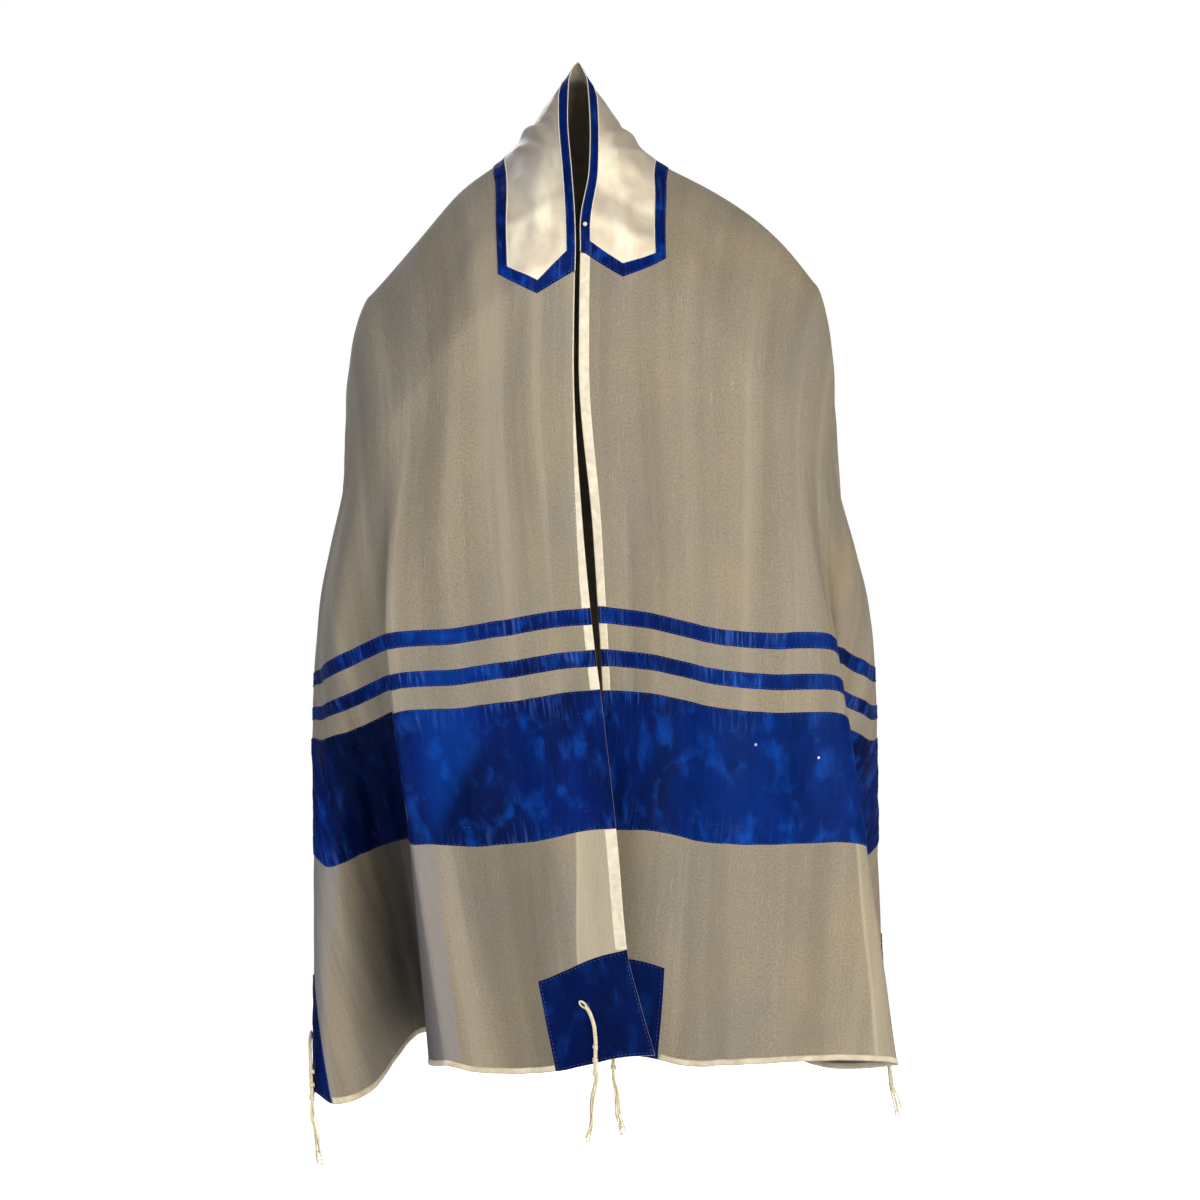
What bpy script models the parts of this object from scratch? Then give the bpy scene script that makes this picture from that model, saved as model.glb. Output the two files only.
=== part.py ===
"""Tallit prayer shawl, worn over the shoulders with its fronts meeting, hollow inside.

One rectangle of cloth hangs from a ridge that runs over both shoulders and from the two
shoulder tips. Every panel is read from that draped cloth. Metres, +Z up, the front faces
-Y, and the origin is the nape of the neck, where the wearer holds it up.

The flat cloth has two measures: ALONG runs from the middle of the neck edge to each short
hem, ACROSS runs from the neck edge to the lower long edge. The cloth falls in straight
lines from the ridge. Each fall line has a turn: 0 at the front edge, 1 at the front
corner of the shoulder, 2 at its back corner and 3 at the middle of the back.
"""
import math

import bmesh
import bpy
import numpy as np
from mathutils import Vector

# ---- the flat cut -------------------------------------------------------------------
HALF_LENGTH = 1.000         # middle of the neck edge to each short hem
WIDTH = 0.700               # neck edge to the lower long edge
TIP_ALONG = 0.230           # where the shoulder tip touches the cloth
TIP_ACROSS = 0.190
RIDGE_RATIO = TIP_ALONG / TIP_ACROSS
HEM_FALL = HALF_LENGTH - TIP_ALONG

# ---- walls and seams ------------------------------------------------------------------
CLOTH_WALL = 0.0010
TRIM_WALL = 0.0010
SEAM = 0.0003               # air between two pieces that are sewn together
EDGE_INSET = 0.00025        # each trim stops this far short of its own outline
LEAST_TILT = 0.45           # limit on how far a sharp fold's mitre lengthens the seam's air
MERGE = 0.0008              # rows closer than this on a fall line are one point
EDGE_MERGE = 0.010          # rows that come this near the cloth's edge end on it

# ---- trims ----------------------------------------------------------------------------
EDGING = 0.010              # white tape on the front edges, blue border of the collar
COLLAR_SATIN = 0.072        # across the collar to the end of its satin
COLLAR = 0.082              # across the whole collar
PATCH = 0.095               # square corner patch
PATCH_SKEW = 0.022          # the front patches are sewn on a little askew
NARROW_BAND_1 = (0.574, 0.590)
NARROW_BAND_2 = (0.614, 0.630)
WIDE_BAND = (0.652, 0.785)
COLLAR_END = {              # across, satin end along, border end along
    "left": ((0.000, 0.2320, 0.2520), (0.010, 0.2325, 0.2565), (0.041, 0.2590, 0.2720),
             (0.072, 0.2450, 0.2590), (0.082, 0.2410, 0.2540)),
    "right": ((0.000, 0.2210, 0.2330), (0.010, 0.2215, 0.2385), (0.041, 0.2410, 0.2550),
              (0.072, 0.2280, 0.2400), (0.082, 0.2240, 0.2360)),
}

# ---- tassels at the four corners ------------------------------------------------------
TASSEL_HOLES = {"front": (0.946, 0.053), "side": (0.953, 0.653)}   # along, across
BUNDLE_RADIUS = 0.0022
BUNDLE_LENGTH = 0.066
BUNDLE_STEPS = 5
BUNDLE_SIDES = 8
KNOT_RADIUS = 0.0036
TASSEL_GAP = 0.0006
STRANDS = 8
STRAND_LENGTH = 0.062
STRAND_RADIUS = 0.0006
STRAND_ROOTS = 0.0024
STRAND_SPREAD = 0.0012
STRAND_STEPS = 6

# ---- the drape ------------------------------------------------------------------------
RIDGE = {                   # share of the ridge, outward, height
    "left": ((0.00, 0.014, 0.000), (0.105, 0.034, -0.0225), (0.22, 0.0526, -0.052),
              (0.41, 0.088, -0.097), (0.52, 0.119, -0.1115), (0.60, 0.135, -0.1275),
              (0.675, 0.148, -0.146), (0.84, 0.182, -0.185), (1.00, 0.215, -0.222)),
    "right": ((0.00, -0.012, 0.000), (0.39, 0.065, -0.096), (0.50, 0.0965, -0.108),
               (0.58, 0.120, -0.1215), (0.67, 0.146, -0.136), (0.88, 0.197, -0.178),
               (1.00, 0.220, -0.210)),
}
CHEST_FALL = (              # turn, length of fall to the chest ring, roundness
    (0.00, 0.230, 1.15), (0.45, 0.180, 1.30), (1.00, 0.160, 1.40), (1.50, 0.160, 3.00),
    (2.00, 0.160, 1.40), (2.55, 0.170, 1.33), (3.00, 0.180, 1.25),
)
WAIST_FALL = 0.36
CHEST_RING = (              # turn, outward, y
    (0.00, 0.002, -0.115), (0.50, 0.092, -0.120), (1.00, 0.188, -0.098),
    (1.20, 0.222, -0.062), (1.50, 0.241, 0.000), (1.80, 0.224, 0.064),
    (2.00, 0.192, 0.098), (2.50, 0.100, 0.120), (2.85, 0.030, 0.1245), (3.00, 0.000, 0.125),
)


def fan(degrees):
    """The turn of a fall line that leaves the shoulder tip at this angle."""
    return 1.0 + degrees / 90.0


WAIST_RING = {
    "left": ((0.00, 0.002, -0.125), (0.50, 0.095, -0.131), (1.00, 0.191, -0.120),
             (fan(5), 0.186, -0.096), (fan(10), 0.203, -0.082), (fan(20), 0.2405, -0.068),
             (fan(26), 0.263, -0.030), (1.34, 0.268, 0.014)),
    "right": ((0.00, 0.002, -0.125), (0.50, 0.095, -0.131), (1.00, 0.191, -0.131),
              (fan(6.6), 0.2305, -0.124), (fan(10), 0.238, -0.104), (fan(14), 0.234, -0.084),
              (fan(20), 0.2455, -0.080), (fan(26), 0.268, -0.052), (1.34, 0.274, 0.004)),
}
HEM_RING = {                # turn, outward, y
    "left": ((0.00, 0.000, -0.150), (0.25, 0.036, -0.147), (0.50, 0.069, -0.139), (0.70, 0.098, -0.135),
             (fan(0), 0.136, -0.138), (fan(4), 0.154, -0.092), (fan(9), 0.152, -0.028),
             (fan(14), 0.158, 0.036), (fan(17), 0.174, 0.048), (fan(21), 0.198, 0.010),
             (fan(24.3), 0.216, -0.050), (fan(26.3), 0.232, -0.078), (fan(28.3), 0.250, -0.085),
             (fan(31.6), 0.263, -0.064), (fan(33.5), 0.266, -0.040),
             (fan(37.1), 0.272, 0.002), (fan(41), 0.252, 0.030)),
    "right": ((0.00, 0.000, -0.129), (0.35, 0.050, -0.134), (0.70, 0.118, -0.139),
              (fan(0), 0.180, -0.142), (fan(4), 0.232, -0.138), (fan(8.5), 0.291, -0.114),
              (fan(11), 0.292, -0.086), (fan(16), 0.232, -0.048), (fan(20), 0.206, -0.006),
              (fan(23), 0.222, 0.018), (fan(28.3), 0.262, 0.004), (fan(31.6), 0.288, 0.030),
              (fan(33.5), 0.290, 0.054), (fan(37.1), 0.281, 0.078), (fan(41), 0.253, 0.070)),
}
BACK_OF_WAIST = (           # the same on both sides: turn, outward, y
    (fan(38), 0.256, 0.048), (fan(46), 0.244, 0.072), (fan(50), 0.244, 0.084),
    (fan(56), 0.252, 0.108), (fan(60), 0.246, 0.124), (fan(66), 0.216, 0.130),
    (fan(71), 0.204, 0.142), (fan(76), 0.206, 0.158), (fan(80), 0.196, 0.164),
    (fan(86), 0.172, 0.152), (fan(90), 0.160, 0.148), (2.30, 0.118, 0.140),
    (2.60, 0.072, 0.148), (2.85, 0.028, 0.139), (3.00, 0.000, 0.138),
)
BACK_OF_HEM = (             # three flutes on each side, each crest and trough rounded
    (fan(44), 0.220, 0.050), (fan(47), 0.212, 0.066), (fan(51), 0.240, 0.086),
    (fan(54), 0.262, 0.098), (fan(57.5), 0.262, 0.120), (fan(61), 0.232, 0.134),
    (fan(64), 0.204, 0.138), (fan(67), 0.196, 0.154), (fan(71), 0.214, 0.170),
    (fan(74), 0.228, 0.178), (fan(77), 0.224, 0.194), (fan(80.5), 0.200, 0.196),
    (fan(84), 0.178, 0.178), (fan(87), 0.164, 0.166), (fan(90), 0.152, 0.160),
    (2.30, 0.112, 0.150), (2.60, 0.070, 0.172), (2.85, 0.027, 0.154), (3.00, 0.000, 0.150),
)
LEVEL_FALLS = (0.350, 0.560, 0.770)
HANG = {                    # turn, drop at the waist, at the wide band's foot and at the hem
    "left": ((0.00, -0.0019, -0.0023, -0.0047), (0.05, 0.0006, 0.0001, -0.0023),
             (0.10, 0.0036, 0.0027, 0.0001), (0.15, 0.0055, 0.0042, 0.0018),
             (0.20, 0.0070, 0.0054, 0.0036), (0.25, 0.0096, 0.0079, 0.0069),
             (0.30, 0.0122, 0.0104, 0.0104), (0.35, 0.0154, 0.0136, 0.0144),
             (0.40, 0.0205, 0.0187, 0.0202), (0.45, 0.0288, 0.0268, 0.0292),
             (0.50, 0.0382, 0.0357, 0.0388), (0.55, 0.0455, 0.0417, 0.0452),
             (0.60, 0.0494, 0.0446, 0.0481), (0.65, 0.0504, 0.0456, 0.0483),
             (0.70, 0.0503, 0.0455, 0.0478), (0.75, 0.0491, 0.0441, 0.0466),
             (0.80, 0.0478, 0.0424, 0.0453), (0.85, 0.0461, 0.0397, 0.0428),
             (0.90, 0.0441, 0.0365, 0.0389), (1.00, 0.0395, 0.0297, 0.0248),
             (fan(2.5), 0.0345, 0.0230, 0.0213), (fan(5), 0.0290, 0.0160, 0.0168),
             (fan(8.5), 0.0232, 0.0098, 0.0091), (fan(12), 0.0201, 0.0069, 0.0003),
             (fan(14), 0.0184, 0.0051, -0.0060), (fan(17), 0.0158, 0.0005, -0.0180),
             (fan(20), 0.0124, -0.0095, -0.0311), (fan(23), 0.0100, -0.0216, -0.0414),
             (fan(26), 0.0061, -0.0287, -0.0501), (fan(28), 0.0040, -0.0330, -0.0580),
             (fan(33.5), 0.0020, -0.0550, -0.1050), (fan(37), 0.0020, -0.0500, -0.0950),
             (fan(50), 0.0000, -0.0200, -0.0400), (fan(70), 0.0000, -0.0050, -0.0100),
             (fan(90), 0.0000, 0.0000, 0.0000), (3.00, 0.0000, 0.0000, 0.0000)),
    "right": ((0.00, -0.0003, -0.0030, 0.0046), (0.05, -0.0009, -0.0037, 0.0019),
              (0.10, -0.0014, -0.0040, -0.0009), (0.15, -0.0012, -0.0037, -0.0036),
              (0.20, -0.0007, -0.0032, -0.0049), (0.25, 0.0016, -0.0018, -0.0043),
              (0.30, 0.0057, 0.0008, -0.0031), (0.35, 0.0113, 0.0058, 0.0002),
              (0.40, 0.0189, 0.0132, 0.0060), (0.45, 0.0295, 0.0231, 0.0153),
              (0.50, 0.0400, 0.0330, 0.0253), (0.55, 0.0473, 0.0401, 0.0332),
              (0.60, 0.0534, 0.0461, 0.0397), (0.65, 0.0593, 0.0515, 0.0450),
              (0.70, 0.0631, 0.0549, 0.0476), (0.75, 0.0648, 0.0565, 0.0478),
              (0.80, 0.0658, 0.0575, 0.0482), (0.85, 0.0653, 0.0565, 0.0469),
              (0.90, 0.0634, 0.0536, 0.0437), (1.00, 0.0536, 0.0422, 0.0324),
              (fan(2.5), 0.0499, 0.0378, 0.0276), (fan(5), 0.0467, 0.0333, 0.0234),
              (fan(8.5), 0.0440, 0.0312, 0.0225), (fan(10), 0.0400, 0.0271, 0.0180),
              (fan(14), 0.0320, 0.0140, 0.0040), (fan(17), 0.0255, 0.0040, -0.0076),
              (fan(20), 0.0206, -0.0060, -0.0215), (fan(23), 0.0187, -0.0125, -0.0400),
              (fan(26), 0.0127, -0.0185, -0.0610), (fan(28), 0.0100, -0.0240, -0.0780),
              (fan(33.5), 0.0050, -0.0500, -0.1350), (fan(37), 0.0050, -0.0470, -0.1210),
              (fan(50), 0.0000, -0.0260, -0.0580), (fan(70), 0.0000, -0.0050, -0.0100),
              (fan(90), 0.0000, 0.0000, 0.0000), (3.00, 0.0000, 0.0000, 0.0000)),
}
FRONT_EDGE = (              # fall, sway to +X, half gap, right lap to -X, right step back
    (0.00, 0.000, 0.0000, 0.000, 0.000), (0.03, -0.001, 0.0075, 0.000, 0.000),
    (0.08, -0.003, 0.0090, 0.000, 0.000), (0.14, -0.005, 0.0065, 0.000, 0.000),
    (0.21, -0.011, 0.0002, 0.000, 0.000), (0.34, -0.013, 0.0002, 0.000, 0.000),
    (0.50, -0.002, 0.0030, 0.000, 0.000), (0.60, 0.006, 0.0020, 0.000, 0.003),
    (0.68, 0.014, 0.0005, 0.002, 0.008), (0.80, 0.026, 0.0000, 0.026, 0.008),
    (0.90, 0.0345, 0.0000, 0.0455, 0.008), (0.945, 0.045, 0.0000, 0.058, 0.008),
    (1.00, 0.060, 0.0000, 0.078, 0.008),
)
NECK_FADE = 0.35            # turn over which the front edge's own shape dies away
FALL_STEPS = 400            # steps in which a fall line's height is summed

# ---- how finely the cloth is divided -------------------------------------------------
FRONT_COLUMNS = (0.000, EDGING, 0.026, 0.041, 0.057, COLLAR_SATIN, COLLAR, PATCH, 0.115,
                 0.135, 0.152, 0.165, 0.178, TIP_ACROSS)
SHOULDER_ROWS = (0.012, 0.030, 0.055, 0.085, 0.120, 0.165, 0.215, 0.275)
BACK_ROWS = (0.030, 0.070, 0.115, 0.165, 0.235)
COLLAR_SHARES = (0.12, 0.30, 0.55, 0.80)
BAND_ROWS = NARROW_BAND_1 + NARROW_BAND_2 + (
    WIDE_BAND[0], 0.696, 0.741, WIDE_BAND[1], 0.825, 0.865)
PATCH_TOP = HALF_LENGTH - PATCH


def angle_of(along, across):
    """The angle at the shoulder tip of the fall line through a point of the cloth."""
    return math.degrees(math.atan2(across - TIP_ACROSS, along - TIP_ALONG))


PATCH_FAN = (angle_of(HALF_LENGTH, WIDTH - PATCH), angle_of(PATCH_TOP, WIDTH - PATCH),
             angle_of(HALF_LENGTH, WIDTH), angle_of(PATCH_TOP, WIDTH))
FAN_COLUMNS = ((1.3, 2.6, 4.5, 7, 9.5, 12, 13.7, 15.2, 17, 19, 21.5, 24, 26.3) + PATCH_FAN
               + (39.5, 42, 44.5, 47, 49.5, 52, 54.5, 57.5, 60.5, 63.5, 66.5, 69.5, 72.5,
                  75.5, 78.5, 81.5, 84.2, 87, 90))


# ---- curves through the tables --------------------------------------------------------
def through(table, at):
    """Values of a smooth curve through a table whose first column is the key."""
    rows = np.array(table, dtype=float)
    keys, values = rows[:, 0], rows[:, 1:]
    slopes = level_slopes(keys, values)
    at = np.clip(np.asarray(at, dtype=float), keys[0], keys[-1])
    cell = np.clip(np.searchsorted(keys, at, side="right") - 1, 0, len(keys) - 2)
    span = keys[cell + 1] - keys[cell]
    t = ((at - keys[cell]) / span)[..., None]
    span = span[..., None]
    return ((2 * t**3 - 3 * t**2 + 1) * values[cell] + (t**3 - 2 * t**2 + t) * span * slopes[cell]
            + (3 * t**2 - 2 * t**3) * values[cell + 1] + (t**3 - t**2) * span * slopes[cell + 1])


def level_slopes(keys, values):
    """Slopes at the keys that keep a curve inside its table, level at each crest."""
    secants = np.diff(values, axis=0) / np.diff(keys)[:, None]
    slopes = np.vstack((secants[:1], np.zeros_like(values[2:]), secants[-1:]))
    before, after = secants[:-1], secants[1:]
    same_way = before * after > 0.0
    total = np.where(same_way, before + after, 1.0)
    slopes[1:-1] = np.where(same_way, 2.0 * before * after / total, 0.0)
    return slopes


def start_of(turn):
    """Where on the cloth a fall line leaves the ridge, and its angle there."""
    if turn <= 1.0:
        across = turn * TIP_ACROSS
        return across * RIDGE_RATIO, across, 0.0
    if turn < 2.0:
        return TIP_ALONG, TIP_ACROSS, math.radians(90.0 * (turn - 1.0))
    along = (3.0 - turn) * TIP_ALONG
    return along, along / RIDGE_RATIO, math.radians(90.0)


def full_fall(turn):
    """Length of a fall line from the ridge to the edge of the cloth."""
    along, across, angle = start_of(turn)
    to_hem = (HALF_LENGTH - along) / max(math.cos(angle), 1e-6)
    to_edge = (WIDTH - across) / max(math.sin(angle), 1e-6)
    return min(to_hem, to_edge)


def fall_line(side, turn):
    """One fall line as its lengths and points, by summing its height along its plan."""
    sign = -1.0 if side == "left" else 1.0
    share = min(turn, 1.0) if turn < 2.0 else 3.0 - turn
    ridge_out, ridge_z = through(RIDGE[side], share)
    chest_fall, roundness = through(CHEST_FALL, turn)
    ridge = np.array((ridge_out, 0.0))
    chest = through(CHEST_RING, turn)
    waist = through(WAIST_RING[side] + BACK_OF_WAIST, turn)
    hem = through(HEM_RING[side] + BACK_OF_HEM, turn)
    fall = np.linspace(0.0, full_fall(turn), FALL_STEPS)
    upper = np.clip(fall / chest_fall, 0.0, 1.0)
    rise = (1.0 - (1.0 - upper) ** roundness)[:, None]
    plan = ridge + (chest - ridge) * rise
    table = ((chest_fall, *chest), (WAIST_FALL, *waist), (HEM_FALL, *hem))
    lower = fall > chest_fall
    plan[lower] = below_chest(table, fall[lower])
    plan = plan + edge_shape(side, turn, fall)
    step = np.diff(fall)
    run = np.linalg.norm(np.diff(plan, axis=0), axis=1) / step
    drop = step * np.sqrt(np.clip(1.0 - run**2, 0.02, 1.0))
    levels = zip((0.0,) + LEVEL_FALLS, (0.0, *through(HANG[side], turn)))
    hang = through(tuple(levels), fall)[:, 0]
    height = ridge_z - np.concatenate(((0.0,), np.cumsum(drop))) - hang
    return fall, np.column_stack((sign * plan[:, 0], plan[:, 1], height))


def below_chest(table, fall):
    """Plan of a fall line through its chest, waist and hem points."""
    (f0, *p0), (f1, *p1), (f2, *p2) = table
    p0, p1, p2 = np.array(p0), np.array(p1), np.array(p2)
    middle = (p2 - p0) / (f2 - f0)
    end = (p2 - p1) / (f2 - f1)
    first = hermite(p0, p1, np.zeros(2), middle, f1 - f0, (fall - f0) / (f1 - f0))
    second = hermite(p1, p2, middle, end, f2 - f1, (fall - f1) / (f2 - f1))
    past = p2 + end * (fall - f2)[:, None]
    plan = np.where((fall < f1)[:, None], first, second)
    return np.where((fall > f2)[:, None], past, plan)


def hermite(p0, p1, m0, m1, span, t):
    t = np.clip(t, 0.0, 1.0)[:, None]
    return ((2 * t**3 - 3 * t**2 + 1) * p0 + (t**3 - 2 * t**2 + t) * span * m0
            + (3 * t**2 - 2 * t**3) * p1 + (t**3 - t**2) * span * m1)


def edge_shape(side, turn, fall):
    """Sway of the front opening, the neck slot and the lap of the right front."""
    shape = np.zeros((len(fall), 2))
    if turn >= 1.0:
        return shape
    along = fall + start_of(turn)[0]
    sway, gap, lap, back = through(FRONT_EDGE, along).T
    near = max(0.0, 1.0 - turn / NECK_FADE)
    wide = 1.0 - turn
    if side == "left":
        shape[:, 0] = gap * near - sway * wide
    else:
        shape[:, 0] = gap * near + (sway - lap) * wide
        shape[:, 1] = back * wide
    return shape


# ---- the cloth's net of columns and rows ----------------------------------------------
def collar_ends(side, across):
    table = np.array(COLLAR_END[side])
    return (np.interp(across, table[:, 0], table[:, 1]),
            np.interp(across, table[:, 0], table[:, 2]))


def rows_of(side, turn):
    """Lengths of fall at which a column has a row, ridge first and edge last."""
    along, across, angle = start_of(turn)
    full = full_fall(turn)
    if turn <= 1.0 and across <= COLLAR + MERGE:
        satin, border = (end - along for end in collar_ends(side, across))
        rows = [satin * share for share in COLLAR_SHARES]
        rows += [satin, border, border + 0.045, border + 0.110]
    elif turn <= 2.0:
        rows = list(SHOULDER_ROWS)
    else:
        ends = [max(0.0, end - across) for end in (EDGING, COLLAR_SATIN, COLLAR)]
        rows = ends + [ends[2] + row for row in BACK_ROWS]
        share = max(0.0, (across - COLLAR) / (TIP_ACROSS - COLLAR))
        rows = [(1.0 - share) * a + share * b for a, b in zip(rows, SHOULDER_ROWS)]
    across_fan = max(math.cos(angle), 1e-6)
    first_band = (NARROW_BAND_1[0] - along) / across_fan
    rows.append(min(0.5 * (rows[-1] + first_band), 0.40))
    rows += [(level - along) / across_fan for level in BAND_ROWS]
    patch_top = PATCH_TOP
    if turn <= 1.0:
        patch_top += PATCH_SKEW * np.interp(across, (0.0, PATCH, TIP_ACROSS), (-0.6, 0.4, 0.0))
    rows.append((patch_top - along) / across_fan)
    rows.append(full)
    return [0.0] + [full if row > full - EDGE_MERGE else row for row in rows]


RIDGE_ROW = 0
NECK_BACK, SATIN_BACK, COLLAR_BACK = 1, 2, 3
SATIN_FRONT, COLLAR_FRONT = 5, 6
FIRST_BAND_ROW = len(SHOULDER_ROWS) + 2
PATCH_ROW = FIRST_BAND_ROW + len(BAND_ROWS)
HEM_ROW = PATCH_ROW + 1
TURNS = ([across / TIP_ACROSS for across in FRONT_COLUMNS] + [fan(a) for a in FAN_COLUMNS]
         + [3.0 - across / TIP_ACROSS for across in reversed(FRONT_COLUMNS[:-1])])
FRONT_LAST = len(FRONT_COLUMNS) - 1
BACK_FIRST = FRONT_LAST + len(FAN_COLUMNS)
CENTRE_BACK = len(TURNS) - 1


class Drape:
    """The draped cloth: its points, its triangles by cell, and its outward normals."""

    def __init__(self):
        self.points = []
        self.names = {}
        self.cells = {}
        for side in ("left", "right"):
            self.add_side(side)
        self.points = np.array(self.points)
        self.normals = self.point_normals()

    def add_side(self, side):
        for column, turn in enumerate(TURNS):
            fall, line = fall_line(side, turn)
            rows = rows_of(side, turn)
            for row, length in enumerate(rows):
                if row and length - rows[row - 1] < MERGE:
                    self.names[side, column, row] = self.names[side, column, row - 1]
                    rows[row] = rows[row - 1]
                    continue
                twin = self.shared(side, column, row)
                if twin is not None:
                    self.names[side, column, row] = twin
                    continue
                self.names[side, column, row] = len(self.points)
                self.points.append([np.interp(length, fall, line[:, i]) for i in range(3)])
        for column in range(len(TURNS) - 1):
            for row in range(HEM_ROW):
                self.cells[side, column, row] = self.cell_triangles(side, column, row)

    def shared(self, side, column, row):
        """The point that this one is, where the ridge, the tip or both sides share it."""
        if side == "right" and column == CENTRE_BACK:
            return self.names["left", column, row]
        if side == "right" and column == 0 and row == RIDGE_ROW:
            return self.names["left", 0, RIDGE_ROW]
        if row == RIDGE_ROW and column > FRONT_LAST:
            mirror = FRONT_LAST if column <= BACK_FIRST else CENTRE_BACK - column
            return self.names[side, mirror, RIDGE_ROW]
        return None

    def cell_triangles(self, side, column, row):
        a = self.names[side, column, row]
        b = self.names[side, column + 1, row]
        c = self.names[side, column + 1, row + 1]
        d = self.names[side, column, row + 1]
        triangles = [(a, d, b), (b, d, c)]
        if side == "left":
            triangles = [triangle[::-1] for triangle in triangles]
        return [triangle for triangle in triangles if len(set(triangle)) == 3]

    def point_normals(self):
        normals = np.zeros_like(self.points)
        for triangles in self.cells.values():
            for triangle in triangles:
                p, q, r = self.points[list(triangle)]
                normal = np.cross(q - p, r - p)
                for index in triangle:
                    normals[index] += normal
        return normals / np.linalg.norm(normals, axis=1)[:, None]

    def block(self, side, columns, rows):
        """The triangles of a block of cells, from first to last column and row."""
        return [triangle for column in range(*columns) for row in range(*rows)
                for triangle in self.cells[side, column, row]]


# ---- objects --------------------------------------------------------------------------
def clear_scene():
    for item in list(bpy.data.objects):
        bpy.data.objects.remove(item, do_unlink=True)


def material(name, colour, roughness, metallic=0.0):
    made = bpy.data.materials.new(name)
    made.use_nodes = True
    shader = made.node_tree.nodes["Principled BSDF"]
    shader.inputs["Base Color"].default_value = (*colour, 1.0)
    shader.inputs["Roughness"].default_value = roughness
    shader.inputs["Metallic"].default_value = metallic
    return made


def add_object(name, collection, points, faces, finish):
    mesh = bpy.data.meshes.new(name)
    mesh.from_pydata([tuple(point) for point in points], [], faces)
    mesh.materials.append(finish)
    mesh.shade_smooth()
    item = bpy.data.objects.new(name, mesh)
    collection.objects.link(item)
    return item


def open_edges(triangles):
    """The edges that only one triangle has, each in its triangle's direction."""
    sides = [edge for a, b, c in triangles for edge in ((a, b), (b, c), (c, a))]
    known = set(sides)
    return [edge for edge in sides if edge[::-1] not in known]


def make_shawl(collection, drape, finish):
    """The cloth itself: its outer skin, with the wall laid inward by Solidify."""
    triangles = [triangle for cell in drape.cells.values() for triangle in cell]
    item = add_object("shawl", collection, drape.points, triangles, finish)
    solidify = item.modifiers.new("wall", "SOLIDIFY")
    solidify.thickness = CLOTH_WALL
    solidify.offset = -1.0


def trim(name, collection, drape, triangles, finish):
    """A piece sewn on the cloth: the cloth's own points moved out, as two skins and a rim."""
    used = sorted({index for triangle in triangles for index in triangle})
    place = {index: k for k, index in enumerate(used)}
    rim = open_edges(triangles)
    inward = {index: np.zeros(3) for edge in rim for index in edge}
    for triangle in triangles:
        middle = drape.points[list(triangle)].mean(axis=0)
        for index in set(triangle).intersection(inward):
            away = middle - drape.points[index]
            inward[index] += away / np.linalg.norm(away)
    sharp = {index: 1.0 for index in used}
    for triangle in triangles:
        a, b, c = drape.points[list(triangle)]
        facing = np.cross(b - a, c - a)
        facing /= np.linalg.norm(facing)
        for index in triangle:
            sharp[index] = min(sharp[index], max(LEAST_TILT, drape.normals[index].dot(facing)))
    lift = np.array([[1.0 / sharp[index]] for index in used])
    points = drape.points[used]
    for index, way in inward.items():
        normal = drape.normals[index]
        level = way - normal * way.dot(normal)
        points[place[index]] += level / max(np.linalg.norm(level), 1e-9) * EDGE_INSET
    under = points + drape.normals[used] * lift * SEAM
    over = under + drape.normals[used] * TRIM_WALL
    count = len(used)
    skin = [tuple(place[index] for index in triangle) for triangle in triangles]
    faces = [tuple(index + count for index in face) for face in skin]
    faces += [face[::-1] for face in skin]
    for start, end in rim:
        a, b = place[start], place[end]
        faces.append((a, b, b + count, a + count))
    add_object(name, collection, np.vstack((under, over)), faces, finish)


def column_at(turn):
    return min(range(len(TURNS)), key=lambda column: abs(TURNS[column] - turn))


# ---- the sewn pieces ------------------------------------------------------------------
def make_bands(collection, drape, finish):
    for side in ("left", "right"):
        for name, first, last in (("narrow_band_upper", 0, 1), ("narrow_band_lower", 2, 3),
                                  ("wide_band", 4, 7)):
            rows = (FIRST_BAND_ROW + first, FIRST_BAND_ROW + last)
            triangles = drape.block(side, (0, CENTRE_BACK), rows)
            trim(f"{name}_{side}", collection, drape, triangles, finish)


def make_edging(collection, drape, finish):
    stretches = (("neck", COLLAR_FRONT, FIRST_BAND_ROW),
                 ("between_bands", FIRST_BAND_ROW + 1, FIRST_BAND_ROW + 2),
                 ("above_wide_band", FIRST_BAND_ROW + 3, FIRST_BAND_ROW + 4),
                 ("below_wide_band", FIRST_BAND_ROW + 7, PATCH_ROW))
    for side in ("left", "right"):
        for name, top, bottom in stretches:
            triangles = drape.block(side, (0, 1), (top, bottom))
            trim(f"edging_{name}_{side}", collection, drape, triangles, finish)


def make_patches(collection, drape, finish):
    front = FRONT_COLUMNS.index(PATCH)
    first, inner, _, last = (column_at(fan(angle)) for angle in PATCH_FAN)
    for side in ("left", "right"):
        triangles = drape.block(side, (0, front), (PATCH_ROW, HEM_ROW))
        trim(f"patch_front_{side}", collection, drape, triangles, finish)
        triangles = drape.block(side, (inner, last), (PATCH_ROW, HEM_ROW))
        triangles.append(drape.cells[side, first, PATCH_ROW][-1])
        trim(f"patch_side_{side}", collection, drape, triangles, finish)


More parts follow.
